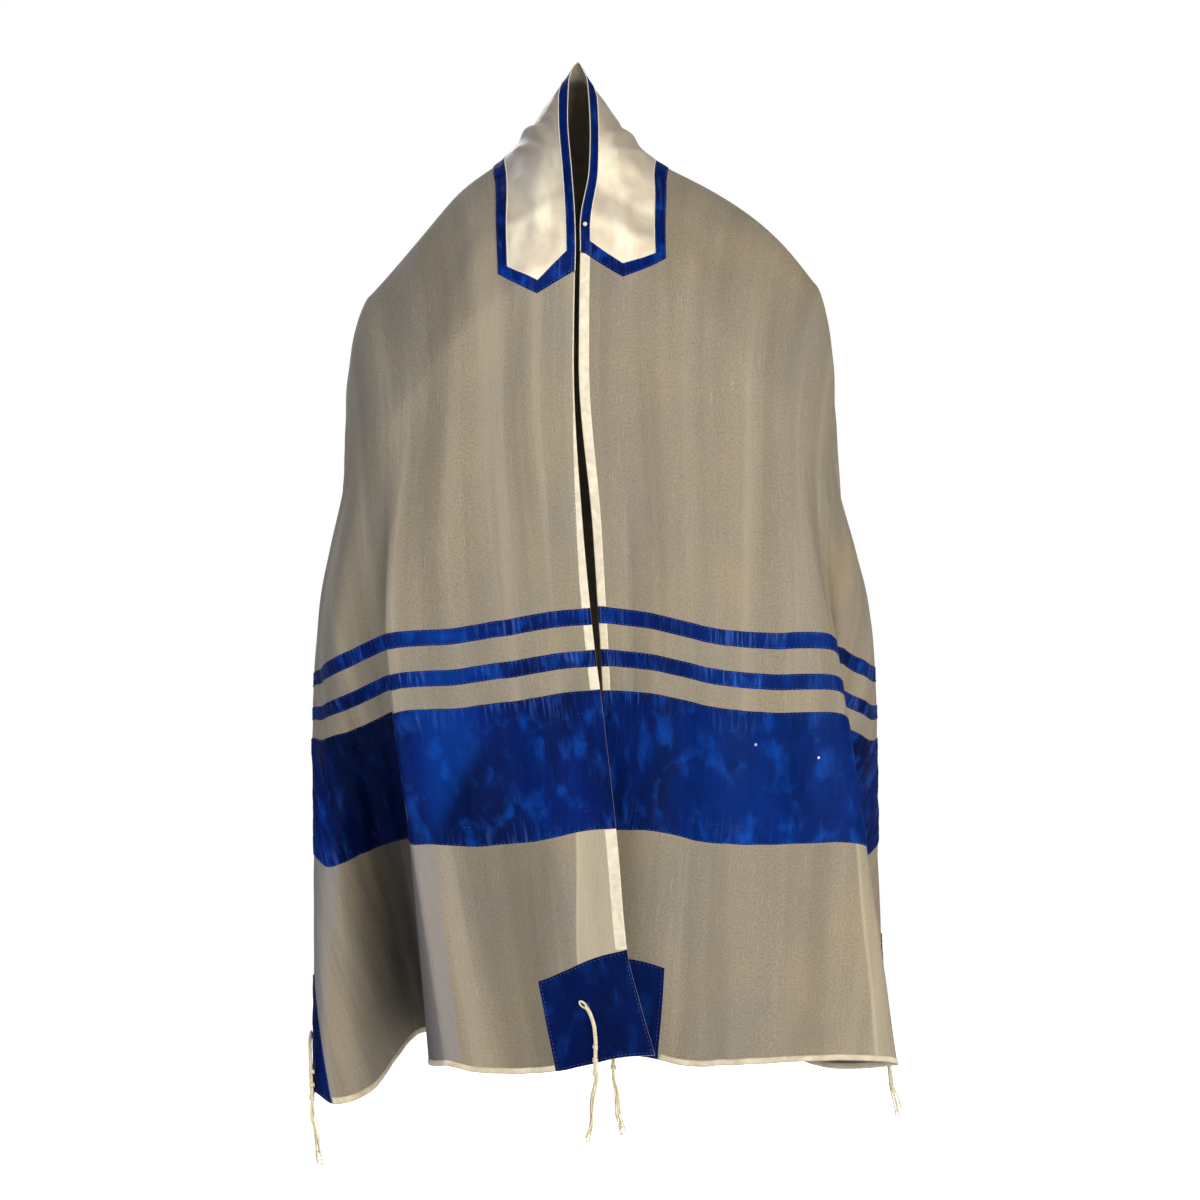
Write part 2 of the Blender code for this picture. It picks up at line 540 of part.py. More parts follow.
def make_collar(collection, drape, satin_finish, border_finish):
    inner = FRONT_COLUMNS.index(EDGING)
    outer = FRONT_COLUMNS.index(COLLAR_SATIN)
    end = FRONT_COLUMNS.index(COLLAR)
    satin = []
    border = []
    for side in ("left", "right"):
        back = CENTRE_BACK - end
        satin += drape.block(side, (inner, outer), (RIDGE_ROW, SATIN_FRONT))
        satin += drape.block(side, (back, CENTRE_BACK), (NECK_BACK, SATIN_BACK))
        border += drape.block(side, (0, inner), (RIDGE_ROW, COLLAR_FRONT))
        border += drape.block(side, (inner, outer), (SATIN_FRONT, COLLAR_FRONT))
        border += drape.block(side, (outer, end), (RIDGE_ROW, COLLAR_FRONT))
        border += drape.block(side, (back, CENTRE_BACK), (RIDGE_ROW, NECK_BACK))
        border += drape.block(side, (back, CENTRE_BACK), (SATIN_BACK, COLLAR_BACK))
    trim("collar_satin", collection, drape, satin, satin_finish)
    trim("collar_border", collection, drape, border, border_finish)


# ---- tassels --------------------------------------------------------------------------
def tube(bm, points, radii, sides):
    """A closed tube through the points, with level rings."""
    rings = []
    for point, radius in zip(points, radii):
        ring = []
        for k in range(sides):
            turn = 2.0 * math.pi * (k + 0.5) / sides
            offset = Vector((math.cos(turn) * radius, math.sin(turn) * radius, 0.0))
            ring.append(bm.verts.new(Vector(point) + offset))
        rings.append(ring)
    for upper, lower in zip(rings, rings[1:]):
        for k in range(sides):
            after = (k + 1) % sides
            bm.faces.new((lower[k], lower[after], upper[after], upper[k]))
    bm.faces.new(rings[0])
    bm.faces.new(rings[-1][::-1])


def tassel_path(drape_side, along, across):
    """Points of a tassel's bundle: down the patch from its hole, then free below the hem."""
    clear = SEAM + TRIM_WALL + BUNDLE_RADIUS + TASSEL_GAP
    points = []
    for level in np.linspace(along, HALF_LENGTH, BUNDLE_STEPS):
        place, out = surface_point(drape_side, level, across)
        points.append(place + out * clear)
    last = points[-1]
    used = sum(np.linalg.norm(b - a) for a, b in zip(points, points[1:]))
    for k in range(1, BUNDLE_STEPS):
        points.append(last - np.array((0.0, 0.0, (BUNDLE_LENGTH - used) * k / (BUNDLE_STEPS - 1))))
    return points


def surface_point(side, along, across):
    """A point of the cloth's outer skin and the way out from it, from its flat measures."""
    def place(along, across):
        turn, fall = fall_of(along, across)
        lengths, line = fall_line(side, turn)
        return np.array([np.interp(fall, lengths, line[:, i]) for i in range(3)])
    step = 0.004
    here = place(along, across)
    down = place(along, across) - place(along - step, across)
    across_way = place(along, across + step) - place(along, across - step)
    out = np.cross(down, across_way)
    out = out / np.linalg.norm(out)
    return here, out if side == "right" else -out


def fall_of(along, across):
    """The turn and the length of fall of a point of the cloth below the ridge."""
    if across <= TIP_ACROSS:
        return across / TIP_ACROSS, along - across * RIDGE_RATIO
    turn = fan(angle_of(along, across))
    return turn, math.hypot(along - TIP_ALONG, across - TIP_ACROSS)


def make_tassel(name, side, along, across, collection, cutters, finish):
    path = tassel_path(side, along, across)
    radii = [BUNDLE_RADIUS] * len(path)
    radii[0] = 0.7 * BUNDLE_RADIUS
    radii[-1] = radii[-2] = KNOT_RADIUS
    head = bmesh.new()
    tube(head, path, radii, BUNDLE_SIDES)
    strands = bmesh.new()
    root = path[-1] + np.array((0.0, 0.0, 0.5 * KNOT_RADIUS))
    for k in range(STRANDS):
        turn = 2.0 * math.pi * k / STRANDS
        way = np.array((math.cos(turn), math.sin(turn), 0.0))
        points = []
        for share in np.linspace(0.0, 1.0, STRAND_STEPS):
            spread = STRAND_ROOTS + STRAND_SPREAD * share + 0.0012 * math.sin(5.0 * share + 2.0 * k)
            sag = np.array((0.0, 0.0, -share * STRAND_LENGTH * (1.0 - 0.06 * (k % 3))))
            points.append(root + way * spread + sag)
        tube(strands, points, [STRAND_RADIUS] * STRAND_STEPS, 4)
    items = []
    for label, bm, place in ((name, head, collection), (name + "_strands", strands, cutters)):
        mesh = bpy.data.meshes.new(label)
        bm.to_mesh(mesh)
        bm.free()
        mesh.materials.append(finish)
        item = bpy.data.objects.new(label, mesh)
        place.objects.link(item)
        items.append(item)
    items[1].hide_render = True
    items[1].display_type = "WIRE"
    join = items[0].modifiers.new("strands", "BOOLEAN")
    join.operation = "UNION"
    join.object = items[1]


def make_tassels(collection, cutters, finish):
    for name, (along, across) in TASSEL_HOLES.items():
        for side in ("left", "right"):
            make_tassel(f"tassel_{name}_{side}", side, along, across, collection, cutters, finish)


def main():
    clear_scene()
    collection = bpy.data.collections.new("tallit")
    bpy.context.scene.collection.children.link(collection)
    cutters = bpy.data.collections.new("joined shapes")
    bpy.context.scene.collection.children.link(cutters)
    cotton = material("cotton_cord", (0.72, 0.66, 0.52), 0.85)
    voile = material("voile", (0.45, 0.42, 0.36), 0.75)
    blue_satin = material("blue_satin", (0.01, 0.03, 0.24), 0.40)
    white_satin = material("white_satin", (0.80, 0.76, 0.68), 0.35)
    drape = Drape()
    make_shawl(collection, drape, voile)
    make_collar(collection, drape, white_satin, blue_satin)
    make_bands(collection, drape, blue_satin)
    make_edging(collection, drape, white_satin)
    make_patches(collection, drape, blue_satin)
    make_tassels(collection, cutters, cotton)


main()
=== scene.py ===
# Tallit prayer shawl, worn over the shoulders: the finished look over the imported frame.
# Metres, +Z up, the front faces -Y, the nape is the origin. Every cloth piece is laid out in the
# flat cut first: along runs from the middle of the neck edge to each short hem (minus on the
# viewer's left), across runs from the neck edge to the lower long edge.
import math

import bpy
import numpy as np
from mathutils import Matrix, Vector


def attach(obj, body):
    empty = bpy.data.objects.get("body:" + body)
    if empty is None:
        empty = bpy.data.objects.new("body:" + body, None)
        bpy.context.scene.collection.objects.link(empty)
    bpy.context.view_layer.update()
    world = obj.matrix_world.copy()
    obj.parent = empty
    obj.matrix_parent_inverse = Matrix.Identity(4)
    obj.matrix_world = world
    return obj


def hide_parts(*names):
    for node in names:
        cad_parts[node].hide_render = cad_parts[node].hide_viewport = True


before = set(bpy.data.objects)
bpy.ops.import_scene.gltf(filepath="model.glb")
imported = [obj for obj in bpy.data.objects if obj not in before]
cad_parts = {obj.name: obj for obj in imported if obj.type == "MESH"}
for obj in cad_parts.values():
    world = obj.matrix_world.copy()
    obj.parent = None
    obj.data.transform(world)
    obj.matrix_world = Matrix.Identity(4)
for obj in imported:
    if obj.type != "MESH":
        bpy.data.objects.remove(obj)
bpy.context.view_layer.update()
scene = bpy.context.scene
sides = {"left": -1.0, "right": 1.0}
milli, tenth = 1000.0, 10000.0      # millimetres, and tenths of one, in a metre
camera = {"place": (0.00947, -3.12, -0.53), "distance": 3.0, "viewWidth": 1.1364, "sensor": 36.0}


def addItem(name, data):
    item = bpy.data.objects.new(name, data)
    scene.collection.objects.link(item)
    return item


def makeCamera():
    data = bpy.data.cameras.new("camera")
    data.sensor_width = camera["sensor"]
    data.lens = camera["sensor"] * camera["distance"] / camera["viewWidth"]
    item = addItem("camera", data)
    item.location = camera["place"]
    item.rotation_euler = (math.radians(90.0), 0.0, 0.0)
    scene.camera = item


makeCamera()

# The cut, and the way it hangs. A turn names a fall line by where it leaves the ridge: 0 to 1 down
# the front of the ridge to the shoulder tip, 1 to 2 round the tip, 2 to 3 up again behind.
cut = {
    "halfLength": 1.000, "width": 0.700, "trim": 0.0002,    # pieces stop short of the edge by trim
    "tipAlong": 0.230, "tipAcross": 0.190,      # where the shoulder tip touches the cloth
    "fallSteps": 400, "neckFade": 0.35, "waistFall": 0.36, "levelFalls": (0.350, 0.560, 0.770),
    "leastDrop": 0.02,                          # a step's least drop, squared
    "napeSoft": 0.030, "softRounds": 40,        # how far and how often the ridge is softened
    "quiet": 0.05,                              # creases fade out this close to the ridge
}
ridgeRatio = cut["tipAlong"] / cut["tipAcross"]
hemFall = cut["halfLength"] - cut["tipAlong"]
edgeFall = cut["width"] - cut["tipAcross"]


def fan(degrees):
    # the turn at an angle round the shoulder tip
    return 1.0 + degrees / 90.0


# rows of a key, then tenths of a millimetre; chestFall alone is in metres
hang = {
    "ridge": {"left": (         # share of the ridge, outward, height
        (0.0, 140, 0), (0.105, 340, -225), (0.22, 526, -520), (0.41, 880, -970),
        (0.52, 1190, -1115), (0.6, 1350, -1275), (0.675, 1480, -1460), (0.84, 1820, -1850),
        (1.0, 2150, -2220)),
              "right": (
        (0.0, -120, 0), (0.39, 650, -960), (0.5, 965, -1080), (0.58, 1200, -1215),
        (0.67, 1460, -1360), (0.88, 1970, -1780), (1.0, 2200, -2100))},
    "chestFall": (              # turn, length of fall to the chest ring, roundness
        (0.0, 0.23, 1.15), (0.45, 0.18, 1.3), (1.0, 0.16, 1.4), (1.5, 0.16, 3.0),
        (2.0, 0.16, 1.4), (2.55, 0.17, 1.33), (3.0, 0.18, 1.25)),
    "chest": (                  # turn, outward, y; so are the waist and the hem
        (0.0, 20, -1150), (0.5, 920, -1200), (1.0, 1880, -980), (1.2, 2220, -620), (1.5, 2410, 0),
        (1.8, 2240, 640), (2.0, 1920, 980), (2.5, 1000, 1200), (2.85, 300, 1245), (3.0, 0, 1250)),
    "waist": {"left": (
        (0.0, 20, -1250), (0.5, 950, -1310), (1.0, 1910, -1200), (fan(5), 1860, -960),
        (fan(10), 2030, -820), (fan(20), 2405, -680), (fan(26), 2630, -300), (1.34, 2680, 140)),
              "right": (
        (0.0, 20, -1250), (0.5, 950, -1310), (1.0, 1910, -1310), (fan(6.6), 2305, -1240),
        (fan(10), 2380, -1040), (fan(14), 2340, -840), (fan(20), 2455, -800),
        (fan(26), 2680, -520), (1.34, 2740, 40))},
    "waistBack": (
        (fan(38), 2560, 480), (fan(46), 2440, 720), (fan(50), 2440, 840), (fan(56), 2520, 1080),
        (fan(60), 2460, 1240), (fan(66), 2160, 1300), (fan(71), 2040, 1420), (fan(76), 2060, 1580),
        (fan(80), 1960, 1640), (fan(86), 1720, 1520), (fan(90), 1600, 1480), (2.3, 1180, 1400),
        (2.6, 720, 1480), (2.85, 280, 1390), (3.0, 0, 1380)),
    "hem": {"left": (
        (0.0, 0, -1500), (0.25, 360, -1470), (0.5, 690, -1390), (0.7, 980, -1350),
        (fan(0), 1360, -1380), (fan(4), 1540, -920), (fan(9), 1520, -280), (fan(14), 1580, 360),
        (fan(17), 1740, 480), (fan(21), 1980, 100), (fan(24.3), 2160, -500),
        (fan(26.3), 2320, -780), (fan(28.3), 2500, -850), (fan(31.6), 2630, -640),
        (fan(33.5), 2660, -400), (fan(37.1), 2720, 20), (fan(41), 2520, 300)),
            "right": (
        (0.0, 0, -1290), (0.35, 500, -1340), (0.7, 1180, -1390), (fan(0), 1800, -1420),
        (fan(4), 2320, -1380), (fan(8.5), 2910, -1140), (fan(11), 2920, -860),
        (fan(16), 2320, -480), (fan(20), 2060, -60), (fan(23), 2220, 180), (fan(28.3), 2620, 40),
        (fan(31.6), 2880, 300), (fan(33.5), 2900, 540), (fan(37.1), 2810, 780),
        (fan(41), 2530, 700))},
    "hemBack": (
        (fan(44), 2200, 500), (fan(47), 2120, 660), (fan(51), 2400, 860), (fan(54), 2620, 980),
        (fan(57.5), 2620, 1200), (fan(61), 2320, 1340), (fan(64), 2040, 1380),
        (fan(67), 1960, 1540), (fan(71), 2140, 1700), (fan(74), 2280, 1780), (fan(77), 2240, 1940),
        (fan(80.5), 2000, 1960), (fan(84), 1780, 1780), (fan(87), 1640, 1660),
        (fan(90), 1520, 1600), (2.3, 1120, 1500), (2.6, 700, 1720), (2.85, 270, 1540),
        (3.0, 0, 1500)),
    "drop": {"left": (          # turn, drop at the waist, at the wide band's foot and at the hem
        (0.0, -19, -23, -47), (0.05, 6, 1, -23), (0.1, 36, 27, 1), (0.15, 55, 42, 18),
        (0.2, 70, 54, 36), (0.25, 96, 79, 69), (0.3, 122, 104, 104), (0.35, 154, 136, 144),
        (0.4, 205, 187, 202), (0.45, 288, 268, 292), (0.5, 382, 357, 388), (0.55, 455, 417, 452),
        (0.6, 494, 446, 481), (0.65, 504, 456, 483), (0.7, 503, 455, 478), (0.75, 491, 441, 466),
        (0.8, 478, 424, 453), (0.85, 461, 397, 428), (0.9, 441, 365, 389), (1.0, 395, 297, 248),
        (fan(2.5), 345, 230, 213), (fan(5), 290, 160, 168), (fan(8.5), 232, 98, 91),
        (fan(12), 201, 69, 3), (fan(14), 184, 51, -60), (fan(17), 158, 5, -180),
        (fan(20), 124, -95, -311), (fan(23), 100, -216, -414), (fan(26), 61, -287, -501),
        (fan(28), 40, -330, -580), (fan(33.5), 20, -550, -1050), (fan(37), 20, -500, -950),
        (fan(50), 0, -200, -400), (fan(70), 0, -50, -100), (fan(90), 0, 0, 0), (3.0, 0, 0, 0)),
             "right": (
        (0.0, -3, -30, 46), (0.05, -9, -37, 19), (0.1, -14, -40, -9), (0.15, -12, -37, -36),
        (0.2, -7, -32, -49), (0.25, 16, -18, -43), (0.3, 57, 8, -31), (0.35, 113, 58, 2),
        (0.4, 189, 132, 60), (0.45, 295, 231, 153), (0.5, 400, 330, 253), (0.55, 473, 401, 332),
        (0.6, 534, 461, 397), (0.65, 593, 515, 450), (0.7, 631, 549, 476), (0.75, 648, 565, 478),
        (0.8, 658, 575, 482), (0.85, 653, 565, 469), (0.9, 634, 536, 437), (1.0, 536, 422, 324),
        (fan(2.5), 499, 378, 276), (fan(5), 467, 333, 234), (fan(8.5), 440, 312, 225),
        (fan(10), 400, 271, 180), (fan(14), 320, 140, 40), (fan(17), 255, 40, -76),
        (fan(20), 206, -60, -215), (fan(23), 187, -125, -400), (fan(26), 127, -185, -610),
        (fan(28), 100, -240, -780), (fan(33.5), 50, -500, -1350), (fan(37), 50, -470, -1210),
        (fan(50), 0, -260, -580), (fan(70), 0, -50, -100), (fan(90), 0, 0, 0), (3.0, 0, 0, 0))},
    "frontEdge": (              # along, sway to +X, half gap, right lap to -X, right step back
        (0.0, 0, 0, 0, 0), (0.03, -10, 75, 0, 0), (0.08, -30, 90, 0, 0), (0.14, -50, 65, 0, 0),
        (0.21, -110, 2, 0, 0), (0.34, -130, 2, 0, 0), (0.5, -20, 30, 0, 0), (0.6, 60, 20, 0, 30),
        (0.68, 140, 5, 20, 80), (0.8, 260, 0, 260, 80), (0.9, 345, 0, 455, 80),
        (0.945, 450, 0, 580, 80), (1.0, 600, 0, 780, 80)),
}


def hermite(p0, p1, m0, m1, span, t):
    return ((2 * t**3 - 3 * t**2 + 1) * p0 + (t**3 - 2 * t**2 + t) * span * m0
            + (3 * t**2 - 2 * t**3) * p1 + (t**3 - t**2) * span * m1)


def through(table, at, unit=1.0):
    # values of a curve through a table's rows, level at each crest; the first column is the key
    rows = np.array(table, dtype=float)
    keys, values = rows[:, 0], rows[:, 1:] / unit
    secants = np.diff(values, axis=0) / np.diff(keys)[:, None]
    slopes = np.vstack((secants[:1], np.zeros_like(values[2:]), secants[-1:]))
    before, after = secants[:-1], secants[1:]
    sameWay = before * after > 0.0
    total = np.where(sameWay, before + after, 1.0)
    slopes[1:-1] = np.where(sameWay, 2.0 * before * after / total, 0.0)
    at = np.clip(np.asarray(at, dtype=float), keys[0], keys[-1])
    k = np.clip(np.searchsorted(keys, at, side="right") - 1, 0, len(keys) - 2)
    span = (keys[k + 1] - keys[k])[..., None]
    t = (at - keys[k])[..., None] / span
    return hermite(values[k], values[k + 1], slopes[k], slopes[k + 1], span, t)


def startOf(turn):
    # where a fall line leaves the ridge
    share = np.minimum(np.minimum(turn, 1.0), 3.0 - turn)
    return share * cut["tipAlong"], share * cut["tipAcross"]


def fanAngle(turn):
    return np.radians(90.0 * (np.clip(turn, 1.0, 2.0) - 1.0))


def fullFall(turn):
    # length of each fall line, ridge to edge
    turn, angle = np.asarray(turn, dtype=float), fanAngle(turn)
    inFan = np.minimum(hemFall / np.maximum(np.cos(angle), 1e-6),
                       edgeFall / np.maximum(np.sin(angle), 1e-6))
    front = cut["halfLength"] - turn * cut["tipAlong"]
    back = cut["width"] - (3.0 - turn) * cut["tipAcross"]
    return np.where(turn <= 1.0, front, np.where(turn >= 2.0, back, inFan))


def belowChest(table, fall):
    # plan of a fall line from the chest ring, by way of the waist, past the hem
    (f0, *p0), (f1, *p1), (f2, *p2) = table
    p0, p1, p2, fall = np.array(p0), np.array(p1), np.array(p2), fall[:, None]
    middle, end = (p2 - p0) / (f2 - f0), (p2 - p1) / (f2 - f1)
    t1 = np.clip((fall - f0) / (f1 - f0), 0.0, 1.0)
    t2 = np.clip((fall - f1) / (f2 - f1), 0.0, 1.0)
    first = hermite(p0, p1, np.zeros(2), middle, f1 - f0, t1)
    plan = np.where(fall < f1, first, hermite(p1, p2, middle, end, f2 - f1, t2))
    return np.where(fall > f2, p2 + end * (fall - f2), plan)


def edgeShape(side, turn, fall):
    # how the front edge sways, parts and laps, fading out over the front
    shape = np.zeros((len(fall), 2))
    if turn < 1.0:
        sway, gap, lap, back = through(hang["frontEdge"], fall + startOf(turn)[0], tenth).T
        near, wide = max(0.0, 1.0 - turn / cut["neckFade"]), 1.0 - turn
        right = side == "right"
        shape[:, 0] = gap * near + ((sway - lap) if right else -sway) * wide
        shape[:, 1] = back * wide * right
    return shape


def fallLine(side, turn):
    # one fall line: lengths and points, its height summed along its plan
    ridgeOut, ridgeZ = through(hang["ridge"][side], min(turn, 1.0, 3.0 - turn), tenth)
    chestFall, roundness = through(hang["chestFall"], turn)
    ridge, chest = np.array((ridgeOut, 0.0)), through(hang["chest"], turn, tenth)
    waist, hem = (through(hang[name][side] + hang[name + "Back"], turn, tenth)
                  for name in ("waist", "hem"))
    fall = np.linspace(0.0, float(fullFall(turn)), cut["fallSteps"])
    rise = (1.0 - (1.0 - np.clip(fall / chestFall, 0.0, 1.0)) ** roundness)[:, None]
    plan = ridge + (chest - ridge) * rise
    table = ((chestFall, *chest), (cut["waistFall"], *waist), (hemFall, *hem))
    lower = fall > chestFall
    plan[lower] = belowChest(table, fall[lower])
    plan = plan + edgeShape(side, turn, fall)
    step = np.diff(fall)
    run = np.linalg.norm(np.diff(plan, axis=0), axis=1) / step
    down = step * np.sqrt(np.clip(1.0 - run**2, cut["leastDrop"], 1.0))
    levels = zip((0.0,) + cut["levelFalls"], (0.0, *through(hang["drop"][side], turn, tenth)))
    dropped = through(tuple(levels), fall)[:, 0]
    height = ridgeZ - np.concatenate(((0.0,), np.cumsum(down))) - dropped
    return fall, np.column_stack((sides[side] * plan[:, 0], plan[:, 1], height))


# the cloth's own net
net = {"frontColumns": 44, "fanColumns": 160, "rows": 190}
cornerTurn = fan(math.degrees(math.atan2(edgeFall, hemFall)))


def netTurns():
    front = np.linspace(0.0, 1.0, net["frontColumns"])
    inFan = np.linspace(1.0, 2.0, net["fanColumns"] + 2)[1:-1]
    inFan[np.argmin(abs(inFan - cornerTurn))] = cornerTurn
    return np.concatenate((front, inFan, 3.0 - front[::-1]))


turns = netTurns()
columns, rows = len(turns), net["rows"]
shares = np.linspace(0.0, 1.0, rows)
netFalls = fullFall(turns)[:, None] * shares


def flatOf():
    # flat measures of every net point, the same on both sides
    angle = fanAngle(turns)[:, None]
    along, across = (start[:, None] for start in startOf(turns))
    return along + netFalls * np.cos(angle), across + netFalls * np.sin(angle)


def fallOf(along, across):
    # turn and fall of flat measures, along without its sign
    over = along - across * ridgeRatio
    pastAlong, pastAcross = along - cut["tipAlong"], across - cut["tipAcross"]
    front = (pastAcross <= 0.0) & (over >= 0.0)
    back = ~front & (pastAlong <= 0.0)
    turn = np.where(back, 3.0 - along / cut["tipAlong"],
                    fan(np.degrees(np.arctan2(pastAcross, pastAlong))))
    fall = np.where(back, across - along / ridgeRatio, np.hypot(pastAlong, pastAcross))
    return np.where(front, across / cut["tipAcross"], turn), np.where(front, over, fall)


def netIndex():
    # one number for each net point; the ridge, the tips, the nape and the centre back are shared
    index = np.zeros((2, columns, rows), dtype=int)
    firstBack, count = columns - net["frontColumns"], 0
    for s in range(2):
        for c in range(columns):
            for r in range(rows):
                if s == 1 and (c == columns - 1 or c == r == 0):
                    index[s, c, r] = index[0, c, r]
                elif r == 0 and c >= net["frontColumns"]:
                    mirror = net["frontColumns"] - 1 if c < firstBack else columns - 1 - c
                    index[s, c, r] = index[s, mirror, 0]
                else:
                    index[s, c, r] = count
                    count += 1
    return index, count


def gridFaces(k, turned=False):
    # quads over a grid of point numbers
    a, b, c, d = (part.ravel() for part in (k[:-1, :-1], k[1:, :-1], k[1:, 1:], k[:-1, 1:]))
    return np.stack((a, b, c, d) if turned else (a, d, c, b), axis=1)


def triangulate(quads):
    both = np.concatenate((quads[:, [0, 1, 2]], quads[:, [0, 2, 3]]))
    flat = (both[:, 0] == both[:, 1]) | (both[:, 1] == both[:, 2]) | (both[:, 0] == both[:, 2])
    return both[~flat]


def unit(vectors):
    return vectors / np.maximum(np.linalg.norm(vectors, axis=-1, keepdims=True), 1e-12)


def lengthsOf(path):
    return np.concatenate(((0.0,), np.cumsum(np.linalg.norm(np.diff(path, axis=0), axis=1))))


def pointsAt(at, keys, path):
    return np.stack([np.interp(at, keys, path[:, k]) for k in range(3)], axis=-1)


def facings(points, triangles):
    a, b, c = (points[triangles[:, k]] for k in range(3))
    return np.cross(b - a, c - a)


def pointNormals(points, triangles):
    normals, facing = np.zeros_like(points), facings(points, triangles)
    for k in range(3):
        np.add.at(normals, triangles[:, k], facing)
    return unit(normals)


def soften(points, triangles, weight, rounds):
    # draws each point towards the middle of its neighbours, by its weight
    edges = np.concatenate([triangles[:, pair] for pair in ([0, 1], [1, 2], [2, 0])])
    edges = np.unique(np.sort(edges, axis=1), axis=0)
    one, two = edges[(weight[edges] > 0.0).any(axis=1)].T
    count = np.bincount(np.concatenate((one, two)), minlength=len(points)).astype(float)
    for _ in range(rounds):
        total = np.stack([np.bincount(one, values[two], len(points))
                          + np.bincount(two, values[one], len(points)) for values in points.T], 1)
        middle = total / np.maximum(count, 1.0)[:, None]
        points = points + (middle - points) * (0.5 * weight)[:, None]
    return points


def ease(t):
    t = np.clip(t, 0.0, 1.0)
    return t * t * (3.0 - 2.0 * t)


# width and height out of the cloth (minus for a trough), both in tenths of a millimetre, then
# points along and across in millimetres
creases = {
    "left": (
        (50, 22, (300, 178), (450, 181), (600, 186), (800, 189), (1000, 190)),
        (120, -30, (400, 150), (560, 152), (740, 158), (950, 162)),
        (160, 26, (500, 118), (620, 121), (800, 128), (990, 130)),
        (140, -24, (620, 92), (800, 88), (960, 84)),
        (120, 22, (460, 60), (620, 63), (790, 58), (990, 52)),
        (100, -18, (580, 40), (760, 36), (920, 30)), (180, 30, (270, 120), (400, 128), (550, 134)),
        (150, -22, (300, 88), (420, 92), (520, 88)), (110, 20, (260, 50), (380, 53), (500, 50)),
        (90, -16, (170, 110), (240, 132), (330, 150)),
        (100, 18, (150, 128), (230, 152), (340, 170))),
    "right": (
        (120, 26, (280, 178), (460, 190), (620, 205), (800, 220), (1000, 245)),
        (140, -28, (420, 150), (600, 162), (800, 176), (980, 186)),
        (160, 26, (500, 110), (640, 118), (820, 130), (990, 138)),
        (130, -24, (600, 86), (780, 92), (960, 98)), (150, 26, (460, 55), (660, 60), (840, 64)),
        (120, -20, (400, 34), (580, 32), (740, 30)), (180, 34, (240, 130), (360, 142), (500, 146)),
        (140, -24, (280, 96), (400, 100), (540, 94)),
        (100, 20, (140, 112), (220, 140), (310, 160)),
        (100, -18, (160, 132), (240, 165), (340, 186)), (90, 18, (270, 66), (340, 70), (440, 68))),
    "pulls": (                  # short tucks that run off the collar over both shoulders
        (60, 14, (100, 86), (130, 104), (170, 124)), (55, -12, (120, 86), (160, 106), (200, 122)),
        (60, 13, (80, 90), (90, 112), (110, 136)), (70, 14, (210, 86), (240, 102), (280, 116)),
        (60, -11, (180, 88), (220, 110), (260, 130))),
    "fanRows": (                # width, height, angle at the shoulder tip, first and last fall
        (130, -24, 12.0, 200, 700), (120, 22, 18.5, 160, 620), (150, -26, 25.0, 220, 780),
        (110, 24, 31.0, 140, 600), (130, -22, 40.0, 120, 580), (120, 26, 49.0, 100, 520),
        (110, -24, 58.0, 140, 500), (130, 22, 68.5, 100, 460), (120, -26, 79.0, 120, 480)),
    "backRows": (               # width, height, along at the top and bottom, first and last across
        (140, 26, 20, 26, 120, 600), (120, -22, 52, 60, 200, 660), (150, 28, 88, 98, 160, 580),
        (130, -26, 124, 136, 220, 680), (120, 22, 160, 172, 200, 560),
        (140, -24, -34, -40, 180, 640), (130, 24, -68, -78, 140, 600),
        (120, -22, -104, -112, 240, 660), (150, 26, -142, -156, 180, 580),
        (120, -20, -182, -196, 220, 620)),
    "fanTurn": {"left": 2.2, "right": -1.6},
    "fade": 0.25,               # share of a crease's length over which each end dies away
}


def creaseHeight(along, across, width, height, knots):
    # bump of a soft crease over flat measures; its knots are in metres
    lengths = lengthsOf(knots)
    best, place = np.full(along.shape, 1e9), np.zeros(along.shape)
    for start, way, done in zip(knots, np.diff(knots, axis=0), lengths):
        size = way.dot(way)
        a, b = along - start[0], across - start[1]
        t = np.clip((a * way[0] + b * way[1]) / size, 0.0, 1.0)
        off = np.hypot(a - t * way[0], b - t * way[1])
        place = np.where(off < best, done + t * math.sqrt(size), place)
        best = np.minimum(off, best)
    share = place / lengths[-1]
    bump = height / tenth * np.exp(-0.5 * (best / (width / tenth)) ** 2)
    return bump * ease(np.minimum(share, 1.0 - share) / creases["fade"])


def creaseRows(side):
    for width, height, *path in creases[side] + creases["pulls"]:
        yield width, height, np.array(path) / milli
    tip = np.array((cut["tipAlong"], cut["tipAcross"]))
    for width, height, angle, first, last in creases["fanRows"]:
        tilt = math.radians(angle + creases["fanTurn"][side])
        falls = np.array((first, 0.5 * (first + last), last))[:, None] / milli
        yield width, height, tip + falls * np.array((math.cos(tilt), math.sin(tilt)))
    for width, height, top, bottom, first, last in creases["backRows"]:
        if (top > 0) == (side == "right"):
            path = ((abs(top), first), (0.5 * abs(top + bottom), 0.5 * (first + last)),
                    (abs(bottom), last))
            yield width, height, np.array(path) / milli


sideFolds = {                   # the deep folds that hang from the shoulder tips and down the back
    "first": 27.0, "full": 38.0, "period": 9.6, "height": 0.0105, "sway": 0.9, "swayPeriod": 11.0,
    "lastFrom": 82.0, "lastOver": 8.0, "backPeriod": 0.066, "backHeight": 0.0060,
    "backStart": 0.8, "backOver": 0.2, "topFall": 0.10, "fullFall": 0.42,
    "start": {"left": 0.4, "right": 2.1},
}


